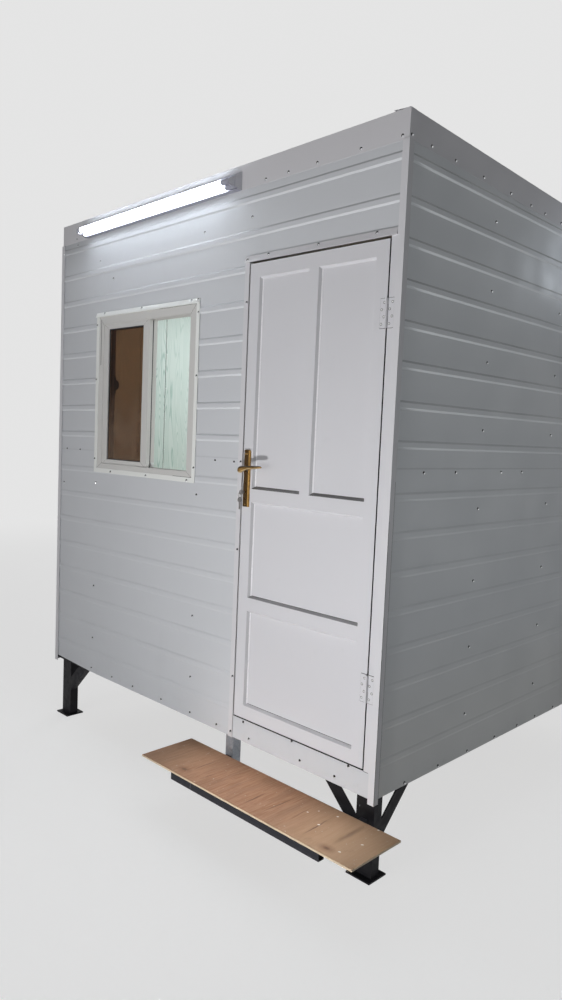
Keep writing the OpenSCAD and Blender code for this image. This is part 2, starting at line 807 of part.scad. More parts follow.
// A recess in the leaf's outer face, narrower by a bead on each side where it meets the panel
module panel_recess(w, h) {
    deep = (leaf_t - panel_t) / 2;
    run = eps * bead_w / deep;
    intersection() {
        linear_extrude(h) polygon([[-run, -eps], [w + run, -eps], [w - bead_w, deep], [bead_w, deep]]);
        rotate([90, 0, 90]) linear_extrude(w)
            polygon([[-eps, -run], [deep, bead_w], [deep, h - bead_w], [-eps, h + run]]);
    }
}
module panel_cut(w, h) {
    panel_recess(w, h);
    translate([0, leaf_t, 0]) mirror([0, 1, 0]) panel_recess(w, h);
    translate([bead_w, (leaf_t - panel_t) / 2 - eps, bead_w])
        cube([w - 2 * bead_w, panel_t + 2 * eps, h - 2 * bead_w]);
}
module panel_places() {
    low = leaf_z + rail_w;
    mid = low + low_panel_h + rail_w;
    up = mid + mid_panel_h + rail_w;
    wide = leaf_w - 2 * stile_w;
    left = leaf_l + stile_w;
    places = [[left, low, wide, low_panel_h], [left, mid, wide, mid_panel_h],
        [left, up, up_panel_w, up_panel_h],
        [left + up_panel_w + mullion_w, up, up_panel_w, up_panel_h]];
    for (p = places) {
        $x = p[0];
        $z = p[1];
        $w = p[2];
        $h = p[3];
        children();
    }
}
module door_leaf() {
    color("white") at_corner() difference() {
        translate([leaf_l, door_face, leaf_z]) cube([leaf_w, leaf_t, leaf_h]);
        panel_places() translate([$x, door_face, $z]) panel_cut($w, $h);
    }
}
module door_panels() {
    mid = door_face + leaf_t / 2;
    color("white") at_corner() panel_places()
        translate([$x + bead_w, mid - panel_t / 2, $z + bead_w])
            cube([$w - 2 * bead_w, panel_t, $h - 2 * bead_w]);
}

// Hinges
module knuckles(rows) {
    for (k = rows)
        translate([axis_x, axis_y, k * segment_h - hinge_h / 2 + knuckle_gap / 2])
            cylinder(r = knuckle_r, h = segment_h - knuckle_gap);
}
module plate_with_tabs(side, rows) {
    clear = knuckle_r + knuckle_gap;
    edge = side > 0 ? axis_x + clear : axis_x - clear - hinge_w;
    translate([edge, door_face - hinge_t, -hinge_h / 2]) cube([hinge_w, hinge_t, hinge_h]);
    for (k = rows)
        translate([side > 0 ? axis_x : axis_x - clear - eps, door_face - hinge_t,
            k * segment_h - hinge_h / 2 + knuckle_gap / 2])
            cube([clear + eps, hinge_t, segment_h - knuckle_gap]);
}
module hinge_places() {
    for (z = [hinge_low, hinge_high])
        translate([0, 0, leaf_z + z]) children();
}
module hinge_frame_plates() {
    color("white") at_corner() hinge_places() {
        knuckles([0, 2, 4]);
        plate_with_tabs(1, [0, 2, 4]);
        translate([axis_x, axis_y, -hinge_h / 2 + knuckle_gap])
            cylinder(r = pin_r, h = hinge_h - 2 * knuckle_gap);
    }
}
module hinge_door_plates() {
    color("white") at_corner() hinge_places() difference() {
        union() {
            knuckles([1, 3]);
            plate_with_tabs(-1, [1, 3]);
        }
        translate([axis_x, axis_y, -hinge_h]) cylinder(r = pin_r + pin_play, h = 2 * hinge_h);
    }
}

// Handle
// Half of a plate's section, from its face to the leaf: its edges are rounded over
function plate_edge(wide) = [for (a = [90 : -22.5 : 0])
    [wide / 2 - plate_round + plate_round * cos(a), -plate_t * sin(a)]];
module plate_outline(wide) {
    square_h = plate_h - plate_corner;
    translate([-wide / 2, -plate_h / 2]) square([wide, square_h]);
    translate([-wide / 2 + plate_corner, -plate_h / 2]) square([wide - 2 * plate_corner, plate_h]);
    for (x = [-wide / 2 + plate_corner, wide / 2 - plate_corner])
        translate([x, plate_h / 2 - plate_corner]) circle(r = plate_corner);
}
module handle_plate(wide) {
    edge = plate_edge(wide);
    last = len(edge) - 1;
    section = concat(edge, [for (k = [last : -1 : 0]) [-edge[k][0], edge[k][1]]]);
    difference() {
        translate([plate_x, door_face, plate_mid]) intersection() {
            translate([0, 0, -plate_h / 2]) linear_extrude(plate_h) polygon(section);
            translate([0, eps, 0]) rotate([90, 0, 0]) linear_extrude(plate_t + 2 * eps)
                plate_outline(wide);
        }
        translate([plate_x, door_face + eps, spindle_z]) rotate([90, 0, 0])
            cylinder(r = neck_r + lever_play, h = plate_t + 2 * eps);
        translate([plate_x, door_face + eps, cylinder_z]) rotate([90, 0, 0])
            cylinder(r = cylinder_r, h = plate_t + 2 * eps);
    }
}
// Mirrors a piece from the leaf's outer face to its inner face
module to_inside() {
    translate([0, 2 * door_face + leaf_t, 0]) mirror([0, 1, 0]) children();
}
module both_faces() {
    children();
    to_inside() children();
}
module handle_plates() {
    color("darkgoldenrod") at_corner() {
        handle_plate(plate_w);
        to_inside() handle_plate(inner_plate_w);
    }
}
// The grip's course from the bulb at 0 to the tip at 1
grip_steps = 12;
grip_x = [for (k = [0 : grip_steps]) lever_len * (1 - pow(1 - k / grip_steps, 1.5))];
function grip_size(k) = 1 - (1 - grip_taper) * grip_x[k] / lever_len;
function grip_end(k) = k == grip_steps ? 0.5 : 1;
function grip_lift(k) = grip_rise * (1 - cos(180 * grip_x[k] / lever_len)) / 2;
function grip_bend(k) = grip_back * (1 - cos(180 * grip_x[k] / lever_len)) / 2;
module grip_profile(size, shift) {
    polygon(concat(
        [for (k = [0 : grip_steps]) [grip_x[k], shift[k] - size * grip_size(k) * grip_end(k) / 2]],
        [for (k = [grip_steps : -1 : 0]) [grip_x[k], shift[k] + size * grip_size(k) * grip_end(k) / 2]]));
}
module lever() {
    out = plate_t + lever_out;
    bulb_y = -out + bulb_r;
    steps = [0 : grip_steps];
    bulb = [for (a = [-30 : 15 : 75]) [bulb_r * cos(a), -bulb_y + bulb_r * sin(a)]];
    translate([plate_x, door_face, spindle_z]) {
        rotate([90, 0, 0]) rotate_extrude() polygon(concat(
            [[0, lever_play], [neck_r, lever_play], [neck_r, plate_t]], bulb, [[0, out]]));
        intersection() {
            translate([0, 0, -far / 2]) linear_extrude(far)
                grip_profile(grip_t, [for (k = steps) bulb_y + grip_bend(k)]);
            translate([0, far / 2, 0]) rotate([90, 0, 0]) linear_extrude(far)
                grip_profile(grip_h, [for (k = steps) grip_lift(k)]);
        }
    }
}
module lever_handle() {
    color("darkgoldenrod") at_corner() both_faces() lever();
}
module lock_cylinder() {
    reach = plate_t + cylinder_out;
    color("gold") at_corner() both_faces()
        translate([plate_x, door_face, cylinder_z]) rotate([90, 0, 0])
            cylinder(r = cylinder_r, h = reach);
}
// A key along negative X from its bow's hole, flat on the plane of X and Y
module key_shape(length) {
    bow_x = key_hole_in - key_bow_r;
    blade = -bow_x + key_bow_r + length;
    translate([0, 0, -key_t / 2]) linear_extrude(key_t) difference() {
        union() {
            translate([bow_x, 0]) circle(r = key_bow_r);
            translate([-blade, -key_blade_h / 2]) square([blade + bow_x, key_blade_h]);
        }
        circle(r = key_hole_r);
    }
}
// The key in the lock, with a spare one hanging from its ring
module door_key() {
    face = door_face - plate_t - cylinder_out - lever_play;
    hole_y = face - key_neck - 2 * key_bow_r + key_hole_in;
    seat = key_hole_r - key_wire_r + wire_bite;
    ring_z = -key_ring_r - seat;
    color("silver") at_corner() translate([plate_x, hole_y, cylinder_z]) {
        rotate([0, 90, 0]) rotate([0, 0, -90]) key_shape(key_neck);
        translate([0, 0, ring_z]) rotate([90, 0, 0]) rotate_extrude()
            translate([key_ring_r, 0]) circle(r = key_wire_r);
        translate([0, 0, ring_z - key_ring_r - seat]) rotate([0, 90, 0])
            mirror([1, 0, 0]) key_shape(spare_len);
    }
}

// Window
// A ring in the plane of X and Z, from its outer and inner corners
module ring(l, r, b, t, in_l, in_r, in_b, in_t, y, depth) {
    difference() {
        translate([l, y, b]) cube([r - l, depth, t - b]);
        translate([in_l, y - eps, in_b]) cube([in_r - in_l, depth + 2 * eps, in_t - in_b]);
    }
}
module window_trim() {
    out = win_trim_w - win_trim_lap;
    top = win_z + win_h - win_trim_lap;
    color("white") at_corner() {
        difference() {
            translate([win_l - out, -trim_out, win_z - out])
                cube([win_w + 2 * out, trim_t, top - win_z + out]);
            translate([win_l + win_trim_lap, -far / 2, win_z + win_trim_lap])
                cube([win_w - 2 * win_trim_lap, far, far]);
        }
        translate([win_l - out, 0, top]) rotate([90, 0, 90]) linear_extrude(win_w + 2 * out)
            polygon(drip_section(win_trim_w, win_drip));
    }
}
module track(y) {
    translate([clear_l - track_d, y, clear_b - track_d])
        cube([clear_r - clear_l + 2 * track_d, track_w, clear_t - clear_b + 2 * track_d]);
}
module window_frame() {
    color("white") at_corner() difference() {
        translate([win_l, frame_front, win_z]) cube([win_w, frame_d, win_h]);
        translate([clear_l, frame_front - eps, clear_b])
            cube([clear_r - clear_l, frame_d + 2 * eps, clear_t - clear_b]);
        track(front_track);
        track(rear_track);
    }
}
module sash(y) {
    ring(sash_l, sash_l + sash_w, sash_b, sash_b + sash_h,
        sash_l + sash_stile, sash_l + sash_w - sash_stile, sash_b + sash_rail,
        sash_b + sash_h - sash_rail, y + sash_play, sash_t);
}
module window_sash_front() {
    color("white") at_corner() sash(front_track);
}
module window_sash_rear() {
    color("white") at_corner() sash(rear_track);
}
module window_glass() {
    color("saddlebrown", 0.5) at_corner()
        for (y = [front_track, rear_track])
            translate([sash_l + sash_stile, y + sash_play + (sash_t - glass_t) / 2,
                sash_b + sash_rail])
                cube([sash_w - 2 * sash_stile, glass_t, sash_h - 2 * sash_rail]);
}

// Lamp
// Lays a section of the lamp along the front roof edge: X out from the fascia, Y up from the
// lamp's foot, and its length from the right end to the left
module at_lamp() {
    translate([0, 0, apex_h]) rotate([0, roof_b, 0])
        translate([-lamp_in, -fascia_out, -lamp_down - lamp_back]) rotate([90, 0, -90]) children();
}
// The part of the lamp's outline between two depths
function lamp_low(y) = lamp_rise * y / lamp_depth;
function lamp_high(y) = lamp_back + (lamp_rise + lamp_front - lamp_back) * y / lamp_depth;
module lamp_part(from, to) {
    polygon([[from, lamp_low(from)], [to, lamp_low(to)], [to, lamp_high(to)], [from, lamp_high(from)]]);
}
// The lip under the tubes, which slopes up behind them into the casing
lip_root = 7;
module lip_part() {
    polygon([[0, -lamp_lip_t], [lamp_lip, -lamp_lip_t], [lamp_lip, 0],
        [lamp_case - lip_root, lip_root], [0, lip_root]]);
}
module tube_places() {
    translate([front_tube_out, front_tube_up, 0]) children();
    translate([rear_tube_out, rear_tube_up, 0]) children();
}
module lamp_housing() {
    color("white") at_corner() at_lamp() {
        linear_extrude(lamp_len) lamp_part(0, lamp_case);
        linear_extrude(lamp_len) lip_part();
        for (x = [0, lamp_len - lamp_end])
            translate([0, 0, x]) linear_extrude(lamp_end) lamp_part(0, lamp_fold);
        translate([0, 0, holder_step]) linear_extrude(lamp_end - holder_step)
            lamp_part(lamp_fold, lamp_depth);
        translate([0, 0, lamp_len - lamp_end]) linear_extrude(lamp_end - holder_step)
            lamp_part(lamp_fold, lamp_depth);
        tube_places() {
            translate([0, 0, lamp_end - eps]) cylinder(r = tube_r, h = cap_right + eps);
            translate([0, 0, lamp_len - lamp_end - cap_left]) cylinder(r = tube_r, h = cap_left + eps);
        }
    }
}
module lamp_tubes() {
    length = lamp_len - 2 * lamp_end - cap_right - cap_left;
    color("white") at_corner() at_lamp() tube_places()
        translate([0, 0, lamp_end + cap_right]) cylinder(r = tube_r, h = length);
}

// Step
module step_board() {
    color("burlywood") at_corner()
        translate([step_over - step_len, -step_front, -step_down - step_t])
            cube([step_len, step_d, step_t]);
}
// Distance of the post's left side from the side wall's face
function post_left() = -post_x - post_w;
module step_frame() {
    top = -step_down - step_t;
    front = -step_front + bar_in;
    left = -rail_in - rail_len;
    rear = front + bar_w;
    color("dimgray") at_corner() {
        difference() {
            translate([left, front, top - bar_h]) cube([rail_len, bar_w, bar_h]);
            translate([left - eps, front + bar_wall, top - bar_h + bar_wall])
                cube([rail_len + 2 * eps, bar_w - 2 * bar_wall, bar_h - 2 * bar_wall]);
        }
        translate([post_left() + (post_w - bar_w) / 2, rear - eps, top - bar_h])
            cube([bar_w, post_in - rear + eps, bar_h]);
        translate([-leg_in_x - leg_w / 2 - bar_w / 2, rear - eps, top - bar_h])
            cube([bar_w, leg_in_y - rear + eps, bar_h]);
    }
}
module step_post() {
    inner = post_w - 2 * bar_wall;
    color("silver") at_corner() translate([post_left(), post_in, -ground_gap]) difference() {
        cube([post_w, post_w, ground_gap]);
        translate([bar_wall, bar_wall, -eps]) cube([inner, inner, ground_gap + 2 * eps]);
    }
}

floor_beam_front();
floor_beam_rear();
floor_beam_left();
floor_beam_right();
floor_joists();
floor_deck();
leg_front_left();
leg_front_right();
leg_rear_left();
leg_rear_right();
front_wall();
front_wall_head();
left_wall();
right_wall();
rear_wall();
front_cladding();
left_cladding();
right_cladding();
rear_cladding();
front_lining();
left_lining();
right_lining();
rear_lining();
ceiling();
roof_core();
roof_sheet();
fascia_front();
fascia_rear();
fascia_left();
fascia_right();
corner_trims();
door_frame();
door_sill();
door_flashing();
door_leaf();
door_panels();
hinge_frame_plates();
hinge_door_plates();
handle_plates();
lever_handle();
lock_cylinder();
door_key();
window_trim();
window_frame();
window_sash_front();
window_sash_rear();
window_glass();
lamp_housing();
lamp_tubes();
step_board();
step_frame();
step_post();
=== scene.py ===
"""Looks of the portable site cabin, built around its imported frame."""

import json
import math
import random

import bmesh
import bpy
from mathutils import Matrix, Vector
from mathutils.bvhtree import BVHTree


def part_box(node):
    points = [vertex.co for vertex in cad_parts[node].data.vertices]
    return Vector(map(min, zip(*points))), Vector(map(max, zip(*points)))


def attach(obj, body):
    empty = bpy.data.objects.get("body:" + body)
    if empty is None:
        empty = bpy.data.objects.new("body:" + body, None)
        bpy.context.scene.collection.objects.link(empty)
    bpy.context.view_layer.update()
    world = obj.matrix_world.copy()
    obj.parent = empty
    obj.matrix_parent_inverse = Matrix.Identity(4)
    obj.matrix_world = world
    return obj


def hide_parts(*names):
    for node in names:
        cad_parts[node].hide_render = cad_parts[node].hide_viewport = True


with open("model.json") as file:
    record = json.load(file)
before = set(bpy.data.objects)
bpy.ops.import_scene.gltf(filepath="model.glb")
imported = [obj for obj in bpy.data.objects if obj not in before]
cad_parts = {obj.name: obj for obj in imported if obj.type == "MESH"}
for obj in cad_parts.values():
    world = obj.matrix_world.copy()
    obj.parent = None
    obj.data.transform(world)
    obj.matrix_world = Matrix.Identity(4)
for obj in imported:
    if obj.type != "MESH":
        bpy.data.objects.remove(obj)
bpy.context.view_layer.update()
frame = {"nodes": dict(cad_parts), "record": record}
nodes = frame["nodes"]

# Lengths are in millimetres, from the front right corner of the cladding's
# lower edge, as in the part's source. at() turns them into the frame.
mm = 0.001
rib_height = 4 * mm
front_low, front_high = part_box("front_cladding")
corner = Vector((front_high.x, front_low.y + rib_height, front_low.z))


def at(x, y, z):
    return corner + Vector((x, y, z)) * mm


def across(x):
    """A sideways place on the part, in the frame."""
    return corner.x + x * mm


def height(z):
    """A height on the part, in the frame."""
    return corner.z + z * mm


# Body
body_width = 2440
body_depth = 2640
step_top = -100

# Fascias: the height of their lower edge at the corner, and its fall per unit
# of length to the left and to the rear
fascia_edge = 2500
fall_left = 0.017
fall_back = 0.026

# Door: leaf, opening and stops. mirror_y is the sum of the Y of a place on the
# leaf's front and of its mirror image on the back.
leaf_left, leaf_right, leaf_bottom, leaf_top = -813.8, -58.8, 111.5, 2153.5
leaf_face = -4
mirror_y = 32
opening_left, opening_right, opening_top = -820.3, -52.3, 2162.5
sill_top = 105
stop_width = 12
stop_face = 42.5
stile, mullion, rail = 60, 55, 60
low_panel, mid_panel = 440, 434
panel_face = 9
panel_slope = 9

# Hinges: the middles' heights, and each plate's body, left and right edges and
# two columns of screws
hinge_middles = (("upper", 1879.5), ("lower", 436.5))
hinge_half = 55
hinge_plates = (
    ("door", "door", -87.05, -62.05, (-80, -69)),
    ("frame", "cabin", -49.05, -24.05, (-43, -31)),
)

# Lever: the spindle's X and Z, and the Y of the grip's middle
lever_axis = (-784.75, 1250)
lever_middle = -49.8

# Window: left, right, bottom and top of the frame, its clear opening, a sash
# and a pane; then the Y of the front of each sash and of each pane
frame_box = (-2035, -1175, 1178, 2023)
clear_box = (-1985, -1225, 1212, 1973)
sash_box = (-1994, -1566, 1202, 1982)
pane_box = (-1942, -1618, 1236, 1948)
trim_lap = 6
sash_faces = (1, 29)
pane_faces = (9.5, 37.5)
pane_thickness = 5


# Camera, at the place and angle of the photograph's
picture_height = 1000
focal_pixels = 754.2
camera_yaw = 0.7720
camera_pitch = -0.0840
camera_roll = 0.0427
camera_place = at(1685, -2318, 1403)


def camera_axes():
    """Right, up and forward directions of the camera."""
    cos_y, sin_y = math.cos(camera_yaw), math.sin(camera_yaw)
    cos_p, sin_p = math.cos(camera_pitch), math.sin(camera_pitch)
    cos_r, sin_r = math.cos(camera_roll), math.sin(camera_roll)
    forward = Vector((-sin_y * cos_p, cos_y * cos_p, sin_p))
    level = Vector((cos_y, sin_y, 0))
    raised = level.cross(forward)
    return cos_r * level + sin_r * raised, cos_r * raised - sin_r * level, forward


def add_camera():
    right, up, forward = camera_axes()
    data = bpy.data.cameras.new("camera")
    data.sensor_fit = "VERTICAL"
    data.sensor_height = 36
    data.lens = focal_pixels / picture_height * data.sensor_height
    data.clip_end = 200
    camera = bpy.data.objects.new("camera", data)
    turn = Matrix((right, up, -forward)).transposed().to_4x4()
    camera.matrix_world = Matrix.Translation(camera_place) @ turn
    bpy.context.scene.collection.objects.link(camera)
    bpy.context.scene.camera = camera


# Material helpers
class Shade:
    """One procedural material around a Principled shader."""

    def __init__(self, name, colour, rough, metal=0.0):
        self.material = bpy.data.materials.new(name)
        self.material.use_nodes = True
        self.tree = self.material.node_tree
        self.tree.nodes.clear()
        self.out = self.add("ShaderNodeOutputMaterial")
        self.bsdf = self.add("ShaderNodeBsdfPrincipled")
        self.bsdf.inputs["Base Color"].default_value = (*colour, 1)
        self.bsdf.inputs["Roughness"].default_value = rough
        self.bsdf.inputs["Metallic"].default_value = metal
        self.link(self.bsdf.outputs["BSDF"], self.out.inputs["Surface"])
        self.coordinates = self.add("ShaderNodeTexCoord")
        self.place = self.coordinates.outputs["Object"]

    def add(self, kind, **values):
        node = self.tree.nodes.new(kind)
        for key, value in values.items():
            setattr(node, key, value)
        return node

    def link(self, source, target):
        self.tree.links.new(source, target)

    def feed(self, socket, value):
        """Sets an input to a number or colour, or links it to a socket."""
        if isinstance(value, bpy.types.NodeSocket):
            self.link(value, socket)
        elif isinstance(value, (tuple, list)) and len(socket.default_value) > len(value):
            socket.default_value = (*value, 1)
        else:
            socket.default_value = value

    def stretch(self, scale, turn=(0, 0, 0), move=(0, 0, 0)):
        """Object coordinates, moved, turned and scaled on each axis."""
        node = self.add("ShaderNodeMapping")
        self.link(self.place, node.inputs["Vector"])
        node.inputs["Location"].default_value = move
        node.inputs["Rotation"].default_value = turn
        node.inputs["Scale"].default_value = scale
        return node.outputs["Vector"]

    def noise(self, scale, detail=3, rough=0.5, place=None, distortion=0):
        node = self.add("ShaderNodeTexNoise")
        self.link(place or self.place, node.inputs["Vector"])
        node.inputs["Scale"].default_value = scale
        node.inputs["Detail"].default_value = detail
        node.inputs["Roughness"].default_value = rough
        node.inputs["Distortion"].default_value = distortion
        return node.outputs["Fac"]

    def ramp(self, value, start, end, low=0.0, high=1.0):
        """A smooth step of a value between two thresholds."""
        node = self.add("ShaderNodeMapRange", interpolation_type="SMOOTHSTEP")
        self.link(value, node.inputs["Value"])
        for name, number in (("From Min", start), ("From Max", end), ("To Min", low), ("To Max", high)):
            node.inputs[name].default_value = number
        return node.outputs["Result"]

    def contour(self, value, count, width):
        """Thin lines where a value passes each of a number of even levels."""
        part = self.math("FRACT", self.math("MULTIPLY", value, count))
        away = self.math("ABSOLUTE", self.math("SUBTRACT", part, 0.5))
        return self.ramp(away, width, 0)

    def split(self, vector, name):
        node = self.add("ShaderNodeSeparateXYZ")
        self.link(vector, node.inputs[0])
        return node.outputs[name]

    def axis(self, name):
        return self.split(self.place, name)

    def facing(self, name):
        """One part of the surface's direction, on the piece itself, so that it turns with it."""
        return self.split(self.coordinates.outputs["Normal"], name)

    def shifted(self, scale, amount):
        """Object coordinates that wander a little, for ragged outlines."""
        wander = self.add("ShaderNodeTexNoise")
        self.link(self.place, wander.inputs["Vector"])
        wander.inputs["Scale"].default_value = scale
        middle = self.add("ShaderNodeVectorMath", operation="SUBTRACT")
        self.link(wander.outputs["Color"], middle.inputs[0])
        middle.inputs[1].default_value = (0.5, 0.5, 0.5)
        moved = self.add("ShaderNodeVectorMath", operation="MULTIPLY_ADD")
        self.link(middle.outputs[0], moved.inputs[0])
        moved.inputs[1].default_value = (amount, amount, amount)
        self.link(self.place, moved.inputs[2])
        return moved.outputs[0]

    def blot(self, base, colour, share, place, half, angle, around, soft):
        """Mixes a colour in over an oval spot of the part, placed and sized in millimetres."""
        node = self.add("ShaderNodeMapping", vector_type="TEXTURE")
        self.link(around or self.place, node.inputs["Vector"])
        node.inputs["Location"].default_value = at(*place)
        node.inputs["Rotation"].default_value = (0, 0, math.radians(angle))
        node.inputs["Scale"].default_value = [mm * size for size in half]
        away = self.add("ShaderNodeVectorMath", operation="LENGTH")
        self.link(node.outputs[0], away.inputs[0])
        return self.mix(self.ramp(away.outputs["Value"], 1.0, 1.0 - soft, 0, share), base, colour)

    def math(self, operation, first, second=0.0):
        node = self.add("ShaderNodeMath", operation=operation)
        self.feed(node.inputs[0], first)
        self.feed(node.inputs[1], second)
        return node.outputs[0]

    def mix(self, share, first, second):
        """Mixes two colours, each a triple or a socket."""
        node = self.add("ShaderNodeMix", data_type="RGBA")
        for index, value in ((0, share), (6, first), (7, second)):
            self.feed(node.inputs[index], value)
        return node.outputs[2]

    def colour(self, socket):
        self.link(socket, self.bsdf.inputs["Base Color"])

    def rough(self, field, low, high):
        """Roughness between two values, after a noise."""
        self.link(self.ramp(field, 0.3, 0.7, low, high), self.bsdf.inputs["Roughness"])

    def rounded(self, radius):
        """A normal that is rounded over the edges."""
        node = self.add("ShaderNodeBevel", samples=4)
        node.inputs["Radius"].default_value = radius
        return node.outputs["Normal"]

    def bump(self, height, distance, normal=None):
        node = self.add("ShaderNodeBump")
        node.inputs["Strength"].default_value = 1
        node.inputs["Distance"].default_value = distance
        self.link(height, node.inputs["Height"])
        if normal is not None:
            self.link(normal, node.inputs["Normal"])
        self.link(node.outputs["Normal"], self.bsdf.inputs["Normal"])
        return node.outputs["Normal"]


def darker(colour, share):
    return tuple(share * c for c in colour)


# Colours of dirt and dust, and of painted shade and painted light
mud = (0.34, 0.31, 0.28)
grey_dust = (0.05, 0.045, 0.04)
brown_dust_and_shade = (0.10, 0.095, 0.09)
painted_light_white = (0.9, 0.92, 0.95)


# Materials
def coated_sheet(name, colour, rough=0.48, wave=0.002, dust_and_shade=0.0, light_from_below=0.0, side_share=0.0,
    warm_share=0.0, shade_share=0.0, plain_below=700):
    """White coated steel: slightly wavy, faintly smudged and splashed at its foot.

    dust_and_shade paints shade on what faces up and light_from_below paints light on what faces down,
    both less below plain_below. side_share paints shade on what faces right, warm_share warms the lower
    part, and shade_share paints shade on the sheet around and under the lamp.
    """
    splash_top = 130
    warm_top, warm_foot = 700, 100
    lamp_end, lamp_fade = -860, -1000
    lamp_low, lamp_high = 2270, 2450
    plain_fade = 1000
    s = Shade(name, colour, rough)
    s.bsdf.inputs["Specular IOR Level"].default_value = 0.35
    cloud = s.ramp(s.noise(1.7, 3, 0.55), 0.40, 0.72, 0, 0.05)
    base = s.mix(cloud, colour, darker(colour, 0.82))
    smear = s.ramp(s.noise(7, 4, 0.6, s.stretch((1, 1, 0.35))), 0.56, 0.80, 0, 0.08)
    base = s.mix(smear, base, darker(colour, 0.72))
    foot = s.ramp(s.axis("Z"), height(splash_top), height(0))
    warm = s.ramp(s.axis("Z"), height(warm_top), height(warm_foot), 0, warm_share)
    base = s.mix(warm, base, (colour[0] * 1.03, colour[1], colour[2] * 0.94))
    splash = s.math("MULTIPLY", s.ramp(s.noise(26, 5, 0.7), 0.52, 0.74, 0, 0.16), foot)
    base = s.mix(splash, base, mud)
    upper = s.ramp(s.axis("Z"), height(plain_below), height(plain_below + plain_fade), 0.12, 1)
    # Painted shade on what faces up: the upper slopes of the ribs
    shade_facing_up = s.math("MULTIPLY", s.ramp(s.facing("Z"), 0.06, 0.22, 0, dust_and_shade), upper)
    base = s.mix(shade_facing_up, base, darker(colour, 0.3))
    # Painted light on what faces down: the lower slopes of the ribs
    light_facing_down = s.math("MULTIPLY", s.ramp(s.facing("Z"), -0.06, -0.22, 0, light_from_below), upper)
    base = s.mix(light_facing_down, base, painted_light_white)
    # Painted shade on the sheet around and under the lamp
    if shade_share:
        over = s.math("MULTIPLY", s.ramp(s.axis("X"), across(lamp_end), across(lamp_fade)),
            s.ramp(s.axis("Z"), height(lamp_low), height(lamp_high), 0, shade_share))
        base = s.mix(over, base, darker(colour, 0.3))
    # Painted shade on what faces right
    base = s.mix(s.ramp(s.facing("X"), 0.5, 0.9, 0, side_share), base, darker(colour, 0.5))
    s.colour(base)
    s.rough(s.noise(5, 3), rough - 0.05, rough + 0.10)
    ripple = s.bump(s.noise(2.6, 1, 0.4), wave)
    s.bump(s.noise(900, 1), 0.00003, ripple)
    return s.material


def plain_paint(name, colour, rough, dust_and_shade_share=0.0):
    """Smooth paint or plastic with rounded edges and faint mottling; dust_and_shade_share adds dust and
    painted shade where it faces up, and painted shade where it faces right.
    """
    dust_shade_low, dust_shade_high = 150, 1150
    grain = 60
    edge_radius = 0.0008
    s = Shade(name, colour, rough)
    shade = s.ramp(s.noise(3.0, 4), 0.4, 0.75, 0, 0.06)
    handled = s.ramp(s.noise(13, 5, 0.65), 0.58, 0.8, 0, 0.10)
    base = s.mix(shade, colour, darker(colour, 0.8))
    base = s.mix(handled, base, darker(colour, 0.72))
    if dust_and_shade_share:
        # Dust and painted shade on what faces up
        rising = s.ramp(s.axis("Z"), height(dust_shade_low), height(dust_shade_high), 0.25, 1)
        shade_facing_up = s.math("MULTIPLY", s.ramp(s.facing("Z"), 0.3, 0.6, 0, dust_and_shade_share), rising)
        base = s.mix(shade_facing_up, base, brown_dust_and_shade)
        # Painted shade on what faces right, such as the left slopes of the door's panels
        base = s.mix(s.ramp(s.facing("X"), 0.3, 0.6, 0, 0.45), base, darker(colour, 0.3))
    s.colour(base)
    s.rough(s.noise(grain, 2), rough - 0.04, rough + 0.08)
    s.bump(s.noise(grain * 6, 2), 0.0001, s.rounded(edge_radius))
    return s.material


def lining_board():
    """Pale green-white boards with a printed cathedral grain: nested loops drawn out upwards."""
    board = (0.58, 0.655, 0.625)
    grain_line = (0.33, 0.46, 0.42)
    fibre_shade = (0.52, 0.62, 0.57)
    loops = 17
    s = Shade("lining_board", board, 0.45)
    field = s.noise(1.0, 0.6, 0.3, s.stretch((15, 15, 1.7), move=(0.3, 0.2, -1.4)), 0.3)
    ragged = s.math("MULTIPLY", s.noise(60, 2, 0.5, s.stretch((1, 1, 0.2))), 0.02)
    rough_field = s.math("ADD", field, ragged)
    patchy = s.ramp(s.noise(1, 2, 0.5, s.stretch((6, 6, 3))), 0.42, 0.6, 0.45, 1.0)
    lines = s.math("MULTIPLY", s.contour(rough_field, loops, 0.24), patchy)
    fibre = s.ramp(s.noise(160, 3, 0.6, s.stretch((1, 1, 0.16))), 0.45, 0.7, 0, 0.2)
    base = s.mix(lines, board, grain_line)
    s.colour(s.mix(fibre, base, fibre_shade))
    s.bump(s.noise(220, 2, 0.5, s.stretch((1, 1, 0.16))), 0.0002)
    return s.material


# Marks on the step board. Streaks: X, Y, half length, half width, angle and
# strength. Knots and specks: X, Y and size.
board_streaks = (
    (-838, -142, 96, 5.0, 90, 0.75),
    (-744, -208, 70, 4.5, 86, 0.7),
    (-463, -190, 96, 6.0, 92, 0.8),
    (-359, -156, 117, 5.5, 88, 0.8),
    (-140, -170, 116, 6.0, 93, 0.75),
    (-16, -110, 130, 18, 90, 0.55),
    (-600, -120, 120, 4, 89, 0.5),
    (-250, -140, 110, 4, 91, 0.5),
    (-1000, -150, 120, 4, 90, 0.4),
    (-680, -150, 140, 22, 90, 0.25),
    (-300, -150, 140, 28, 90, 0.2),
)
board_knots = ((-867, -243, 16), (-13, -255, 15))
board_specks = (
    (-240, -110, 5), (-216, -69, 4), (-135, -46, 5), (-144, -150, 6),
    (-32, 6, 4), (37, -7, 5), (35, -239, 6), (61, -137, 5),
)
scratch_place, scratch_half, scratch_angle = (-926, -56), (20, 2.0), 104
mark_depth = 40


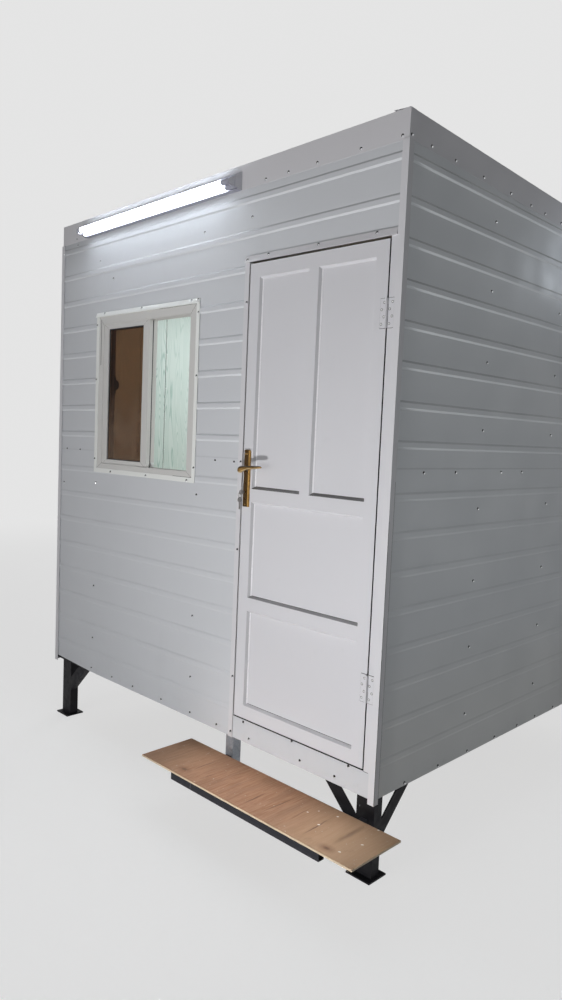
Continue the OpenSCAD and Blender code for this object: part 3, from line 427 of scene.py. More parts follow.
def plywood():
    """Bare plywood: long grain, two knots, dark streaks across, a scratch, dirt and paler ends."""
    pale = (0.405, 0.235, 0.145)
    s = Shade("plywood", pale, 0.62)
    ragged = s.shifted(22, 0.010)
    fuzzy = s.shifted(70, 0.006)

    def mark(base, colour, share, x, y, half_x, half_y, *rest):
        return s.blot(base, colour, share, (x, y, step_top), (half_x, half_y, mark_depth), *rest)

    grain = s.noise(26, 5, 0.65, s.stretch((5, 0.35, 5)), 0.6)
    base = s.mix(s.ramp(grain, 0.35, 0.72), (0.40, 0.216, 0.128), (0.30, 0.152, 0.085))
    broad = s.noise(5, 3, 0.5, s.stretch((2.4, 0.8, 1)), 0.8)
    base = s.mix(s.ramp(broad, 0.42, 0.66, 0, 0.5), base, (0.25, 0.13, 0.075))
    right_end = s.ramp(s.axis("X"), across(-420), across(50), 0, 0.9)
    base = s.mix(right_end, base, (0.46, 0.30, 0.185))
    left_end = s.ramp(s.axis("X"), across(-700), across(-1050), 0, 0.5)
    base = s.mix(left_end, base, (0.47, 0.29, 0.18))
    for x, y, half_x, half_y, angle, share in board_streaks:
        base = mark(base, (0.12, 0.06, 0.038), share, x, y, half_x, half_y, angle, ragged, 0.9)
    for x, y, size in board_knots:
        base = mark(base, (0.22, 0.105, 0.06), 0.7, x, y, size * 3.6, size * 2.2, 0, fuzzy, 0.9)
        base = mark(base, (0.13, 0.065, 0.04), 0.7, x, y, size * 1.3, size * 0.7, 0, fuzzy, 0.8)
    base = mark(base, (0.60, 0.52, 0.42), 0.7, *scratch_place, *scratch_half, scratch_angle, None, 0.45)
    for x, y, size in board_specks:
        base = mark(base, (0.86, 0.84, 0.78), 1.0, x, y, size * 1.2, size * 0.9, 30, fuzzy, 0.45)
    stain = s.ramp(s.noise(9, 5, 0.7), 0.58, 0.74, 0, 0.4)
    base = s.mix(stain, base, (0.19, 0.11, 0.07))
    specks = s.ramp(s.noise(75, 2, 0.5), 0.70, 0.75, 0, 0.7)
    base = s.mix(specks, base, (0.55, 0.50, 0.42))
    edge = s.ramp(s.facing("Z"), 0.6, 0.4)
    s.colour(s.mix(edge, base, (0.62, 0.50, 0.36)))
    s.rough(grain, 0.5, 0.75)
    s.bump(grain, 0.0006)
    return s.material


def worn_black(name="chassis_paint", black=(0.012, 0.0115, 0.014)):
    """Black paint on steel, a little dusty, with pale scratches."""
    bare_steel = (0.2, 0.2, 0.22)
    s = Shade(name, black, 0.5)
    s.bsdf.inputs["Specular IOR Level"].default_value = 0.12
    dust_and_shade = s.ramp(s.noise(8, 5, 0.7), 0.50, 0.78, 0, 0.35)
    base = s.mix(dust_and_shade, black, grey_dust)
    scratch_field = s.noise(30, 4, 0.8, s.stretch((1, 1, 0.25), (0.2, 0.3, 0)), 1.0)
    base = s.mix(s.ramp(scratch_field, 0.71, 0.75, 0, 0.6), base, bare_steel)
    s.colour(base)
    s.rough(s.noise(40, 3), 0.42, 0.62)
    s.bump(s.noise(160, 3), 0.0002, s.rounded(0.0012))
    return s.material


def galvanised():
    """Zinc coat with its crystal cells."""
    zinc_pale, zinc_dark = (0.36, 0.38, 0.42), (0.25, 0.27, 0.30)
    s = Shade("galvanised", zinc_pale, 0.45, 0.6)
    cells = s.add("ShaderNodeTexVoronoi")
    s.link(s.place, cells.inputs["Vector"])
    cells.inputs["Scale"].default_value = 90
    s.colour(s.mix(s.ramp(cells.outputs["Distance"], 0.1, 0.9, 0, 0.5), zinc_pale, zinc_dark))
    s.rough(s.noise(50, 3), 0.4, 0.6)
    return s.material


def aged_brass(name, flat_reflection_share, top_reflection_share):
    """Gold finish with tarnish and painted reflections: darker on its flat faces and on top, and a
    painted highlight where it turns down.
    """
    gold, highlight_gold = (0.31, 0.18, 0.056), (0.80, 0.60, 0.32)
    s = Shade(name, gold, 0.3, 1.0)
    # Painted reflection: the flat faces darker
    flat_reflection = s.ramp(s.math("ABSOLUTE", s.facing("Y")), 0.80, 0.97, 0, flat_reflection_share)
    base = s.mix(flat_reflection, gold, (0.060, 0.034, 0.014))
    tarnish = s.ramp(s.noise(38, 4, 0.65), 0.42, 0.68, 0, 0.5)
    base = s.mix(tarnish, base, (0.06, 0.034, 0.016))
    # Painted reflection darker on top, and a painted highlight where it faces down
    base = s.mix(s.ramp(s.facing("Z"), 0.0, 0.5, 0, top_reflection_share), base, (0.035, 0.022, 0.012))
    base = s.mix(s.ramp(s.facing("Z"), -0.35, -0.75, 0, top_reflection_share), base, highlight_gold)
    s.colour(base)
    s.rough(s.noise(70, 3), 0.26, 0.44)
    s.bump(s.noise(300, 2), 0.00004, s.rounded(0.0015))
    return s.material


def screw_head():
    """Zinc hexagon heads, with a painted highlight where they face down to the right and painted shade
    above.
    """
    bright, dark = (0.80, 0.80, 0.82), (0.02, 0.02, 0.02)
    s = Shade("screw_steel", bright, 0.35, 0.7)
    upward = s.math("MULTIPLY", s.facing("Z"), 0.8)
    leftward = s.math("MULTIPLY", s.facing("X"), -0.4)
    s.colour(s.mix(s.ramp(s.math("ADD", upward, leftward), -0.3, 0.05), bright, dark))
    s.rough(s.noise(200, 2), 0.28, 0.45)
    return s.material


def plain_metal(name, colour, rough, metal=1.0):
    """Metal with darker worn patches."""
    s = Shade(name, colour, rough, metal)
    worn = s.ramp(s.noise(150, 3, 0.6), 0.42, 0.7, 0, 0.5)
    s.colour(s.mix(worn, colour, darker(colour, 0.6)))
    s.rough(s.noise(200, 2), rough - 0.06, rough + 0.1)
    return s.material


def bronze_glass():
    """Bronze tinted glass, dustier in its lower part."""
    tint, dusty_tint = (0.44, 0.30, 0.22), (0.36, 0.27, 0.20)
    clean_above, dusty_below = 1760, 1300
    s = Shade("bronze_glass", tint, 0.0)
    s.bsdf.inputs["IOR"].default_value = 1.1
    low = s.ramp(s.axis("Z"), height(clean_above), height(dusty_below))
    coarse = s.ramp(s.noise(14, 6, 0.8), 0.3, 0.7)
    fine = s.ramp(s.noise(140, 3, 0.7), 0.35, 0.7)
    dirt = s.math("MULTIPLY", s.math("MULTIPLY", s.math("ADD", coarse, fine), 0.5), low)
    s.colour(s.mix(dirt, tint, dusty_tint))
    s.link(s.ramp(dirt, 0, 1, 1.0, 0.6), s.bsdf.inputs["Transmission Weight"])
    return s.material


def lamp_paint():
    """The lamp's casing: its long sides glare beside the tube, so they are kept darker than its ends."""
    shaded, end_white = (0.30, 0.30, 0.36), (0.52, 0.52, 0.56)
    s = Shade("lamp_white", shaded, 0.4)
    s.colour(s.mix(s.ramp(s.facing("X"), 0.5, 0.8), shaded, end_white))
    s.rough(s.noise(60, 2), 0.36, 0.5)
    return s.material


def lit_tube():
    """Frosted tube, with a slightly uneven cool glow."""
    dimmest, brightest = 9, 11
    s = Shade("lit_tube", (1, 1, 1), 0.5)
    s.bsdf.inputs["Emission Color"].default_value = (0.86, 0.93, 1.0, 1)
    glow = s.ramp(s.noise(3, 1), 0.2, 0.8, dimmest, brightest)
    s.link(glow, s.bsdf.inputs["Emission Strength"])
    return s.material


def paint(name, material):
    """Gives a CAD node its material."""
    slots = nodes[name].material_slots
    if not slots:
        nodes[name].data.materials.append(material)
    for slot in slots:
        slot.material = material


white_sheet = coated_sheet(
    "cladding_sheet", (0.60, 0.612, 0.64), dust_and_shade=0.2, light_from_below=0.3, shade_share=0.3)
side_sheet = coated_sheet(
    "side_sheet", (0.60, 0.615, 0.635), 0.42, 0.002, 0.55, 0.4, warm_share=0.6, plain_below=1000)
white_trim = coated_sheet("trim_sheet", (0.65, 0.64, 0.665), 0.42, 0.0006, side_share=0.2)
corner_trim = coated_sheet("corner_trim", (0.67, 0.665, 0.69), 0.42, 0.0006, side_share=0.4)
window_trim = coated_sheet("window_trim_sheet", (0.82, 0.83, 0.81), 0.4, 0.0006)
door_white = plain_paint("door_white", (0.655, 0.65, 0.68), 0.42, dust_and_shade_share=0.9)
frame_white = plain_paint("frame_white", (0.605, 0.595, 0.58), 0.35)
lamp_white = lamp_paint()
highlight_bead_white = plain_paint("highlight_bead_white", (0.86, 0.86, 0.88), 0.3)
lining = lining_board()
core = plain_paint("wall_core", (0.55, 0.53, 0.46), 0.8)
black_steel = worn_black()
rail_steel = worn_black("step_paint", (0.030, 0.030, 0.036))
wood = plywood()
brass = aged_brass("aged_brass", 0.95, 0.2)
lever_brass = aged_brass("lever_brass", 0.3, 0.95)
nickel = plain_metal("nickel", (0.30, 0.29, 0.28), 0.35)
zinc = galvanised()
screw_steel = screw_head()
pale_screw = plain_metal("pale_screw", (0.80, 0.80, 0.80), 0.35, 0.6)
# Black rubber, also used as painted shade in the door's gaps
rubber_and_shade = plain_paint("rubber_and_shade", (0.010, 0.010, 0.013), 0.7)
beige_foam = plain_paint("beige_foam", (0.30, 0.255, 0.20), 0.9)
brown_foam = plain_paint("brown_foam", (0.13, 0.11, 0.085), 0.9)
# Dark lines: painted shade in gaps, recesses and grooves, and the window's mitre joints
shade_and_joints = plain_paint("shade_and_joints", (0.055, 0.052, 0.05), 0.8)
mullion_shade = plain_paint("mullion_shade", (0.075, 0.062, 0.058), 0.5)
glass = bronze_glass()


looks = {
    "cladding": white_sheet,
    "trim": white_trim,
    "roofing": white_trim,
    "door_white": door_white,
    "hinge_white": door_white,
    "upvc": frame_white,
    "lamp_body": lamp_white,
    "lamp_tube": lit_tube(),
    "lining": lining,
    "wall_core": core,
    "chassis": black_steel,
    "step_steel": rail_steel,
    "plywood": wood,
    "floor_board": wood,
    "brass": brass,
    "key_steel": nickel,
    "galvanised": zinc,
    "bronze_glass": glass,
}


def dress_nodes():
    for row in frame["record"]["subparts"]:
        paint(row["node"], looks[row["material_slot"]])
    paint("right_cladding", side_sheet)
    paint("corner_trims", corner_trim)
    paint("window_trim", window_trim)


# Mesh helpers
trees = {}


def tree_of(name):
    if name not in trees:
        mesh = nodes[name].data
        place = nodes[name].matrix_world
        corners = [place @ v.co for v in mesh.vertices]
        trees[name] = BVHTree.FromPolygons(corners, [tuple(p.vertices) for p in mesh.polygons])
    return trees[name]


def surface(carriers, start, direction):
    """Where a line first meets one of the CAD nodes, and the face's outward normal."""
    found = [tree_of(name).ray_cast(start, direction) for name in carriers]
    spot = min((hit for hit in found if hit[0] is not None), key=lambda hit: hit[3])
    normal = spot[1] if spot[1].dot(direction) < 0 else -spot[1]
    return spot[0], normal.normalized()


def skin(bm, rings):
    """Faces from each ring of points to the next, and over both ends."""
    for under, over in zip(rings, rings[1:]):
        for k in range(len(under)):
            after = (k + 1) % len(under)
            bm.faces.new((under[k], under[after], over[after], over[k]))
    bm.faces.new(list(reversed(rings[0])))
    bm.faces.new(rings[-1])


def lathe(bm, place, axis, profile, sides, turn=0.0):
    """Turns a profile of radius and height, in millimetres, about an axis; both ends close."""
    upright = axis.to_track_quat("Z", "Y").to_matrix()
    rings = []
    for radius, rise in profile:
        ring = []
        for k in range(sides):
            angle = turn + 2 * math.pi * k / sides
            spot = Vector((radius * math.cos(angle), radius * math.sin(angle), rise)) * mm
            ring.append(bm.verts.new(place + upright @ spot))
        rings.append(ring)
    skin(bm, rings)


def block(bm, low_corner, high_corner, bevel):
    """A box between two corners in the part's millimetres, with bevelled edges."""
    a, b = at(*low_corner), at(*high_corner)
    made = bmesh.ops.create_cube(bm, size=1)["verts"]
    for v in made:
        v.co = Vector([(a[i] + b[i]) / 2 + v.co[i] * (b[i] - a[i]) for i in range(3)])
    if bevel:
        edges = [edge for edge in bm.edges if edge.verts[0] in made]
        bmesh.ops.bevel(bm, geom=edges, offset=bevel * mm, segments=2, affect="EDGES", profile=0.6)


def moulding(bm, sides, profile):
    """A mitred strip round a rectangle on the front: the profile is its inset and its Y."""
    left, right, bottom, top = sides
    rings = []
    for end_x, way_x, end_z, way_z in ((left, 1, bottom, 1), (right, -1, bottom, 1), (right, -1, top, -1),
        (left, 1, top, -1)):
        places = [at(end_x + way_x * inset, y, end_z + way_z * inset) for inset, y in profile]
        rings.append([bm.verts.new(place) for place in places])
    count = len(profile)
    for k in range(4):
        here, there = rings[k], rings[(k + 1) % 4]
        for j in range(count):
            bm.faces.new((here[j], there[j], there[(j + 1) % count], here[(j + 1) % count]))


def line_strip(bm, start, end, width, y, rise):
    """A thin straight strip on a face of the front, between two points of X and Z."""
    a, b = Vector(start), Vector(end)
    edge = (b - a).orthogonal().normalized() * width / 2
    outline = (a - edge, b - edge, b + edge, a + edge)
    back = [bm.verts.new(at(v.x, y, v.y)) for v in outline]
    front = [bm.verts.new(at(v.x, y - rise, v.y)) for v in outline]
    bm.faces.new(back)
    bm.faces.new(list(reversed(front)))
    for k in range(4):
        bm.faces.new((back[k], front[k], front[(k + 1) % 4], back[(k + 1) % 4]))


def sweep(bm, stations, sides, flip=None):
    """A closed tube through oval sections: each has a centre and its half width in Y and Z."""
    rings = []
    for x, y, z, half_y, half_z in stations:
        if flip is not None:
            y = flip - y
        ring = []
        for k in range(sides):
            angle = 2 * math.pi * k / sides
            ring.append(bm.verts.new(at(x, y + half_y * math.cos(angle), z + half_z * math.sin(angle))))
        rings.append(ring)
    skin(bm, rings)


def make_piece(name, bm, material, body, smooth=False):
    mesh = bpy.data.meshes.new(name)
    bmesh.ops.recalc_face_normals(bm, faces=bm.faces)
    for face in bm.faces:
        face.smooth = smooth
    bm.to_mesh(mesh)
    bm.free()
    piece = bpy.data.objects.new(name, mesh)
    mesh.materials.append(material)
    bpy.context.scene.collection.objects.link(piece)
    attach(piece, body)
    return piece


# Fastenings: outlines as radius and height over the surface
draw = random.Random(11)
washer = ((6.4, -0.3), (6.4, 0.4), (5.8, 1.0), (3.9, 1.2))
hexagon = ((4.6, 0.6), (4.6, 2.6), (3.0, 4.6), (1.0, 5.0))
countersunk = ((3.5, -0.2), (3.4, 0.4), (2.2, 0.55), (1.0, 0.3))
# A dark rim round the hinges' countersunk heads: painted shade in their recesses
shade_rim = ((5.3, -0.2), (5.3, 0.12), (4.9, 0.2))
dome_head = ((4.6, -0.2), (4.4, 0.9), (3.2, 1.9), (1.3, 2.3))
# Washers sit a little above and to the left of their heads, so that their black rims show as the heads'
# painted shadows
shadow_shift = 1.9
shadow_left = 0.8
probe_reach = 0.3
upward = Vector((0, 0, 1))
inward_front = Vector((0, 1, 0))
inward_right = Vector((-1, 0, 0))
inward_left = Vector((1, 0, 0))
inward_rear = Vector((0, -1, 0))


def screw_rows(name, carriers, direction, spots):
    """Screws on rubber washers, where lines along a direction from the spots meet the carriers."""
    heads, washers = bmesh.new(), bmesh.new()
    for spot in spots:
        place, normal = surface(carriers, at(*spot) - direction * probe_reach, direction)
        sideways = upward.cross(normal).normalized()
        shift = (upward - sideways * shadow_left) * shadow_shift * mm
        lathe(washers, place + shift, normal, washer, 12)
        lathe(heads, place, normal, hexagon, 6, draw.uniform(0, math.pi))
    make_piece(name, heads, screw_steel, "cabin")
    make_piece(name.replace("screws", "washers"), washers, rubber_and_shade, "cabin")


def flat_heads(name, carriers, direction, spots, profile, material, body):
    """Flat or domed screw heads on a node."""
    bm = bmesh.new()
    for spot in spots:
        place, normal = surface(carriers, at(*spot) - direction * probe_reach, direction)
        lathe(bm, place, normal, profile, 10)
    make_piece(name, bm, material, body)


def row(z, places):
    """Spots on the front at one height."""
    return [(x, 0, z) for x in places]


def column(x, heights):
    """Spots on the front above each other."""
    return [(x, 0, z) for z in heights]


odd_front_screws = ((-2386, 1075), (-1906, 2214), (-2279, 2440), (-2421, 2414), (-819, 2357))
sill_screws = ((-751, 90), (-710, 23), (-444, 97), (-393, 29), (-130, 95), (-199, 28))


def add_front_screws():
    spots = row(22, (-2042, -1829, -1628, -1373, -1137, -936))
    spots += column(-1143, (201, 507, 1103, 2340)) + column(-2037, (201, 505, 1098, 2321))
    spots += row(1276, (-2357, -2211, -1012, -879))
    spots += [(x, 0, z) for x, z in odd_front_screws + sill_screws]
    screw_rows("front_screws", ("front_cladding", "door_sill"), inward_front, spots)
    spots = column(-829, (24, 286, 879, 1279, 1987, 2171)) + row(2180, (-700, -413, -118))
    screw_rows("door_flashing_screws", ("door_flashing",), inward_front, spots)
    sides = (1972, 1673, 1232)
    spots = row(2032, (-1970, -1624, -1214, -1166)) + column(-1164, sides) + column(-2046, sides)
    spots += row(1168, (-1215, -1555, -1884))
    screw_rows("window_trim_screws", ("window_trim",), inward_front, spots)


fascia_screw_rise = 15
fascia_front_places = (-2290, -2010, -742, -607, -445, -222, -29)
fascia_side_places = (14, 144, 313, 530, 762, 953, 1095, 1267, 1480, 1690, 1905, 2120, 2330, 2540)


def fascia_screw(x, y):
    """A screw's spot a little over the fascias' lower edge."""
    return (x, y, fascia_edge + fall_left * x - fall_back * y + fascia_screw_rise)


def add_fascia_screws():
    front = [fascia_screw(x, 0) for x in fascia_front_places]
    carriers = ("fascia_front", "fascia_right", "front_cladding")
    screw_rows("fascia_front_screws", carriers, inward_front, front)
    side = [fascia_screw(0, y) for y in fascia_side_places]
    screw_rows("fascia_right_screws", ("fascia_right",), inward_right, side)


# Screws of the side and rear walls: heights over each stud, the row at the lap
# of the sheets and the row at the foot. The bare spot has no screw.
stud_heights = (195, 502, 801, 1122, 1464, 1757, 2060, 2350)
rear_stud_top = 2330
side_studs, rear_studs = (655, 1320, 1985), (610, 1220, 1830)
bare_spot = (1985, 1464)
lap_height, foot_height = 1282, 10
side_laps = (217, 453, 839, 1038, 1560, 1770, 2210, 2420)
side_feet = (209, 457, 699, 949, 1177, 1371, 1582, 1800, 2030, 2250, 2450)
rear_laps = (200, 410, 820, 1020, 1430, 1630, 2040, 2250)
rear_feet = range(200, 2300, 230)


def add_side_screws():
    spots = [(0, y, z) for y in side_studs for z in stud_heights if (y, z) != bare_spot]
    spots += [(0, y, lap_height) for y in side_laps]
    spots += [(0, y, foot_height) for y in side_feet]
    screw_rows("right_screws", ("right_cladding",), inward_right, spots)
    left = [(-body_width, y, z) for _, y, z in spots]
    screw_rows("left_screws", ("left_cladding",), inward_left, left)
    rear = [(-x, body_depth, z) for x in rear_studs for z in stud_heights if z < rear_stud_top]
    rear += [(-x, body_depth, lap_height) for x in rear_laps]
    rear += [(-x, body_depth, foot_height) for x in rear_feet]
    screw_rows("rear_screws", ("rear_cladding",), inward_rear, rear)


over_roof = 2650
roof_columns = range(-2350, -60, 152)
roof_rows = (90, 710, 1330, 1950, 2560)


def add_roof_screws():
    spots = [(x, y, over_roof) for x in roof_columns for y in roof_rows]
    screw_rows("roof_screws", ("roof_sheet",), -upward, spots)


hinge_screw_rises = (-40, -13, 14, 40)
hinge_screw_parts = (("shade_rims", shade_rim, shade_and_joints), ("screws", countersunk, pale_screw))
plate_screw_spots = ((-789, 0, 1320), (-780, 0, 1320), (-784.75, 0, 1094))
nail_column = (-2380, 726)
nail_heights = (1283, 1483, 1686, 1907, 2138)


def add_small_screws():
    for name, middle in hinge_middles:
        for side, body, _, _, columns in hinge_plates:
            carrier = (f"hinge_{side}_plates",)
            spots = [(columns[k % 2], 0, middle + rise) for k, rise in enumerate(hinge_screw_rises)]
            for kind, profile, material in hinge_screw_parts:
                flat_heads(f"hinge_{name}_{side}_{kind}", carrier, inward_front, spots, profile,
                    material, body)
    flat_heads("plate_screws", ("handle_plates",), inward_front, plate_screw_spots, dome_head,
        lever_brass, "door")
    nails = [(*nail_column, z) for z in nail_heights]
    flat_heads("lining_nails", ("left_lining",), inward_right, nails, countersunk, screw_steel,
        "cabin")


# Door
def panel_boxes():
    """Left, right, bottom and top of each panel's recess."""
    left, right = leaf_left + stile, leaf_right - stile
    low = leaf_bottom + rail
    mid = low + low_panel + rail
    up = mid + mid_panel + rail
    top = leaf_top - rail
    half = (right - left - mullion) / 2
    return ((left, right, low, low + low_panel), (left, right, mid, mid + mid_panel),
        (left, left + half, up, top), (right - half, right, up, top))


upper_panels = 1000
bead_width = 4.6
bead_rise = 2.6


def add_panel_trims():
    """A pale bead at each panel's left, paler than the door as a painted highlight, and dark lines of
    painted shade at the panels' feet and under the upper panels.
    """
    beads, lines = bmesh.new(), bmesh.new()
    foot = panel_slope
    for left, right, low, top in panel_boxes():
        for out, face in ((-1, panel_face), (1, mirror_y - panel_face)):
            front, back = sorted((face - out * 0.2, face + out * bead_rise))
            start, end = left + foot - 0.8, left + foot + bead_width
            block(beads, (start, front, low + foot), (end, back, top - foot), 0.9)
        at_foot = low + foot + 0.8
        start, end = (left + foot + 1, at_foot), (right - foot, at_foot)
        line_strip(lines, start, end, 2.0, panel_face + 0.1, 0.3)
        if low > upper_panels:
            start, end = (left - 0.4, low - 0.8), (right + 0.4, low - 0.8)
            line_strip(lines, start, end, 1.3, leaf_face + 0.1, 0.25)
    make_piece("panel_beads", beads, highlight_bead_white, "door")
    make_piece("panel_lines", lines, shade_and_joints, "door")


seal_front, seal_back = stop_face - 6, stop_face - 0.05
seal_inset = 0.4
gap_left, gap_right, under_head = opening_left + seal_inset, opening_right - seal_inset, opening_top - 0.1


def add_door_seals():
    """Rubber seals on both side stops, and foam over the leaf and beside its left edge."""
    seals = bmesh.new()
    for x in (opening_left, opening_right - stop_width):
        start = (x + seal_inset, seal_front, leaf_bottom)
        end = (x + stop_width - seal_inset, seal_back, opening_top - stop_width)
        block(seals, start, end, 2)
    make_piece("door_seals", seals, rubber_and_shade, "cabin", True)
    head = bmesh.new()
    block(head, (gap_left, -1.2, under_head - 0.5), (gap_right, 38, under_head), 0)
    block(head, (gap_left, 38.5, opening_top - stop_width), (gap_right, seal_back, under_head), 1)
    make_piece("door_head_foam", head, beige_foam, "cabin")
    side = bmesh.new()
    block(side, (opening_left - 0.1, 1.0, leaf_bottom), (gap_left, 30, leaf_top), 0)
    make_piece("door_side_foam", side, brown_foam, "cabin")


# The dark strip over the leaf, the painted shadow of the flashing: from and to in X, and how far back it
# goes
head_gap_parts = ((-819.9, -600, 4), (-600, -380, 1), (-380, -52.7, -1.2))
# Painted shade in the gaps between the hinges' knuckles: rise over the middle, and height
knuckle_gaps = ((33, 9), (-14, 5))
knuckle_front, knuckle_back = -15.4, -12.2
knuckle_left, knuckle_right = -57.4, -53.8


def add_door_gaps():
    """Painted shade: dark strips in the gaps over and under the leaf and between the hinges' knuckles,
    and a black seal on the leaf's right edge that also paints the shade in its gap.
    """
    dark = bmesh.new()
    for x_from, x_to, y_to in head_gap_parts:
        block(dark, (x_from, leaf_face + 0.3, under_head - 1.0), (x_to, y_to, under_head), 0)
    block(dark, (gap_left, leaf_face + 0.5, sill_top), (gap_right, 24, sill_top + 0.8), 0)
    block(dark, (opening_right - 0.1, leaf_face - 0.2, sill_top - 2), (-30, leaf_face + 0.1, sill_top), 0)
    for name, middle in hinge_middles:
        for rise, tall in knuckle_gaps:
            start = (knuckle_left, knuckle_front, middle + rise)
            block(dark, start, (knuckle_right, knuckle_back, middle + rise + tall), 0.5)
    make_piece("door_gap_dark", dark, rubber_and_shade, "cabin")
    edge = bmesh.new()
    start = (leaf_right - 0.1, leaf_face + 1.8, leaf_bottom + 1)
    block(edge, start, (leaf_right + 0.4, 30, leaf_top - 1), 0)
    make_piece("leaf_edge_shade_seal", edge, rubber_and_shade, "door")


outline_out, outline_in = -1.9, 0.2
outline_front, outline_back = leaf_face - 0.3, leaf_face + 0.1


def add_hinge_outlines():
    """A thin line of painted shade round each hinge plate."""
    profile = ((outline_out, outline_back), (outline_out, outline_front),
        (outline_in, outline_front), (outline_in, outline_back))
    for name, middle in hinge_middles:
        for side, body, left, right, _ in hinge_plates:
            bm = bmesh.new()
            moulding(bm, (left, right, middle - hinge_half, middle + hinge_half), profile)
            make_piece(f"hinge_{name}_{side}_outline", bm, shade_and_joints, body)


# Lever: X and Z from the spindle, Y from the grip's middle, and half width in Y
# and Z of each section; then the neck's radius and height over the plate
lever_stations = (
    (-12.2, -4, 2.0, 3.0), (-11.2, -3.5, 5.5, 7.5), (-8.5, -2.5, 9.0, 11.4), (-4, -1.5, 11.2, 14.0),
    (2, -0.5, 12.0, 15.4), (9, 1, 11.6, 15.0), (17, 3.5, 10.0, 13.0), (26, 6, 8.4, 10.6),
    (38, 8.5, 7.4, 8.6), (52, 10, 8.2, 7.4), (70, 11.5, 9.8, 6.9), (90, 13, 11.2, 6.6),
    (108, 14.5, 11.6, 6.3), (120, 15.3, 10.4, 5.8), (128, 15.8, 7.8, 4.6), (133, 16, 4.2, 2.8),
    (134.8, 16, 1.2, 1.0),
)
lever_neck = ((8.9, 0.35), (8.9, 12), (7.9, 16), (7.6, 26), (8.6, 34), (9.6, 40))
neck_rise = 2.5
lever_sides = 24


def add_lever():
    """Smooth lever handles on both faces of the door, in the place of the plainer solids."""
    bm = bmesh.new()
    axis_x, axis_z = lever_axis
    stations = [(axis_x + x, lever_middle, axis_z + z, half_y, half_z)
        for x, z, half_y, half_z in lever_stations]
    for flip, out, foot in ((None, -1, leaf_face), (mirror_y, 1, mirror_y - leaf_face)):
        sweep(bm, stations, lever_sides, flip)
        lathe(bm, at(axis_x, foot, axis_z + neck_rise), Vector((0, out, 0)), lever_neck, lever_sides)
    piece = make_piece("lever_smooth", bm, lever_brass, "lever", True)
    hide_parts("lever_handle")


# Window
def mitres(bm, outer, inner, width, y, rise):
    """Thin lines between the corners of two rectangles on the front."""
    left, right, bottom, top = outer
    in_left, in_right, in_bottom, in_top = inner
    for start, end in (((left, top), (in_left, in_top)), ((right, top), (in_right, in_top)),
        ((left, bottom), (in_left, in_bottom)), ((right, bottom), (in_right, in_bottom))):
        line_strip(bm, start, end, width, y, rise)


# Gaskets: inset from the pane's edge, and distance from its face
gasket = ((-0.4, -0.1), (-0.4, 2.2), (2.6, 1.6), (4.2, 0.2), (4.2, -0.1))
inner_stile_shift = 34
latch_place = (-1893, 24.6, 1645)
latch_disc = ((25, 0), (26, 1.2), (26, 3.2), (24, 4.2))


def add_window_details():
    gaskets = bmesh.new()
    for y in pane_faces:
        for face, out in ((y, -1), (y + pane_thickness, 1)):
            moulding(gaskets, pane_box, [(inset, face + out * away) for inset, away in gasket])
    make_piece("pane_gaskets", gaskets, rubber_and_shade, "cabin")
    sash_left, sash_right, sash_bottom, sash_top = sash_box
    pane_left, _, pane_bottom, pane_top = pane_box
    seals = bmesh.new()
    start = (sash_right - 7, 23.05, sash_bottom + 12)
    block(seals, start, (sash_right - 1, 28.95, sash_top - 12), 1)
    make_piece("sash_seals", seals, rubber_and_shade, "cabin")
    # The inner stile seen through the glass, painted dark as shade
    shade = bmesh.new()
    start = (sash_left + inner_stile_shift, 25.2, pane_bottom)
    block(shade, start, (pane_left + inner_stile_shift, 28.95, pane_top), 1)
    make_piece("inner_stile", shade, mullion_shade, "cabin")
    add_window_lines()
    latch = bmesh.new()
    lathe(latch, at(*latch_place), Vector((0, 1, 0)), latch_disc, 28)
    block(latch, (-1916, 24.4, 1600), (-1898, 28.9, 1690), 1.5)
    make_piece("window_latch", latch, rubber_and_shade, "cabin")
    keeper = bmesh.new()
    block(keeper, (-1566, 31, 1213), (-1561, 48, 1238), 1.2)
    block(keeper, (-1561, 35, 1217), (-1554, 44, 1231), 1.5)
    make_piece("window_keeper", keeper, pale_screw, "cabin")


def add_window_lines():
    """Mitre lines of the frame and sashes, and dark lines of painted shade along the trim."""
    lines = bmesh.new()
    left, right, bottom, top = frame_box
    seen_right, seen_bottom, seen_top = right - trim_lap, bottom + trim_lap, top - trim_lap
    face = leaf_face + 0.1
    mitres(lines, (left + trim_lap, seen_right, seen_bottom, seen_top), clear_box, 1.1, face, 0.25)
    # Painted shade along the trim's inner edge
    line_strip(lines, (-2008, 1755), (-2008, 2001), 4.0, face, 0.3)
    line_strip(lines, (-1480, seen_top - 0.8), (seen_right, seen_top - 0.8), 1.6, face, 0.3)
    line_strip(lines, (-1330, seen_bottom + 0.8), (seen_right, seen_bottom + 0.8), 2.4, face, 0.3)
    for y in sash_faces:
        mitres(lines, sash_box, pane_box, 0.9, y + 0.1, 0.2)
    make_piece("window_lines", lines, shade_and_joints, "cabin")


# Inside and corner
board_places = range(120, 2560, 200)
groove_half = 1.9


def add_lining_grooves():
    """The shadow at the bottom of each groove between the inner boards of the left wall."""
    bm = bmesh.new()
    for y in board_places:
        block(bm, (-2384.2, y - groove_half, 110), (-2382.0, y + groove_half, 2368), 0)
    make_piece("lining_groove_shadows", bm, shade_and_joints, "cabin")


def add_corner_lines():
    """Dark lines of painted shade on both edges of the corner trim's side flange."""
    bm = bmesh.new()
    block(bm, (-0.2, 24.1, -10), (1.6, 26.4, 2470), 0)
    block(bm, (5.9, 22.6, -16), (6.15, 24.0, 1250), 0)
    block(bm, (5.9, -4.6, -16), (6.15, -2.8, 1100), 0)
    make_piece("corner_lines", bm, shade_and_joints, "cabin")


# Stage and light
backdrop = (0.78, 0.78, 0.78, 1)
floor_colour = (0.36, 0.36, 0.36)
floor_lift = (0.62, 0.62, 0.62, 1)
floor_radius = 40
fade_from, fade_to = 4.0, 11.0


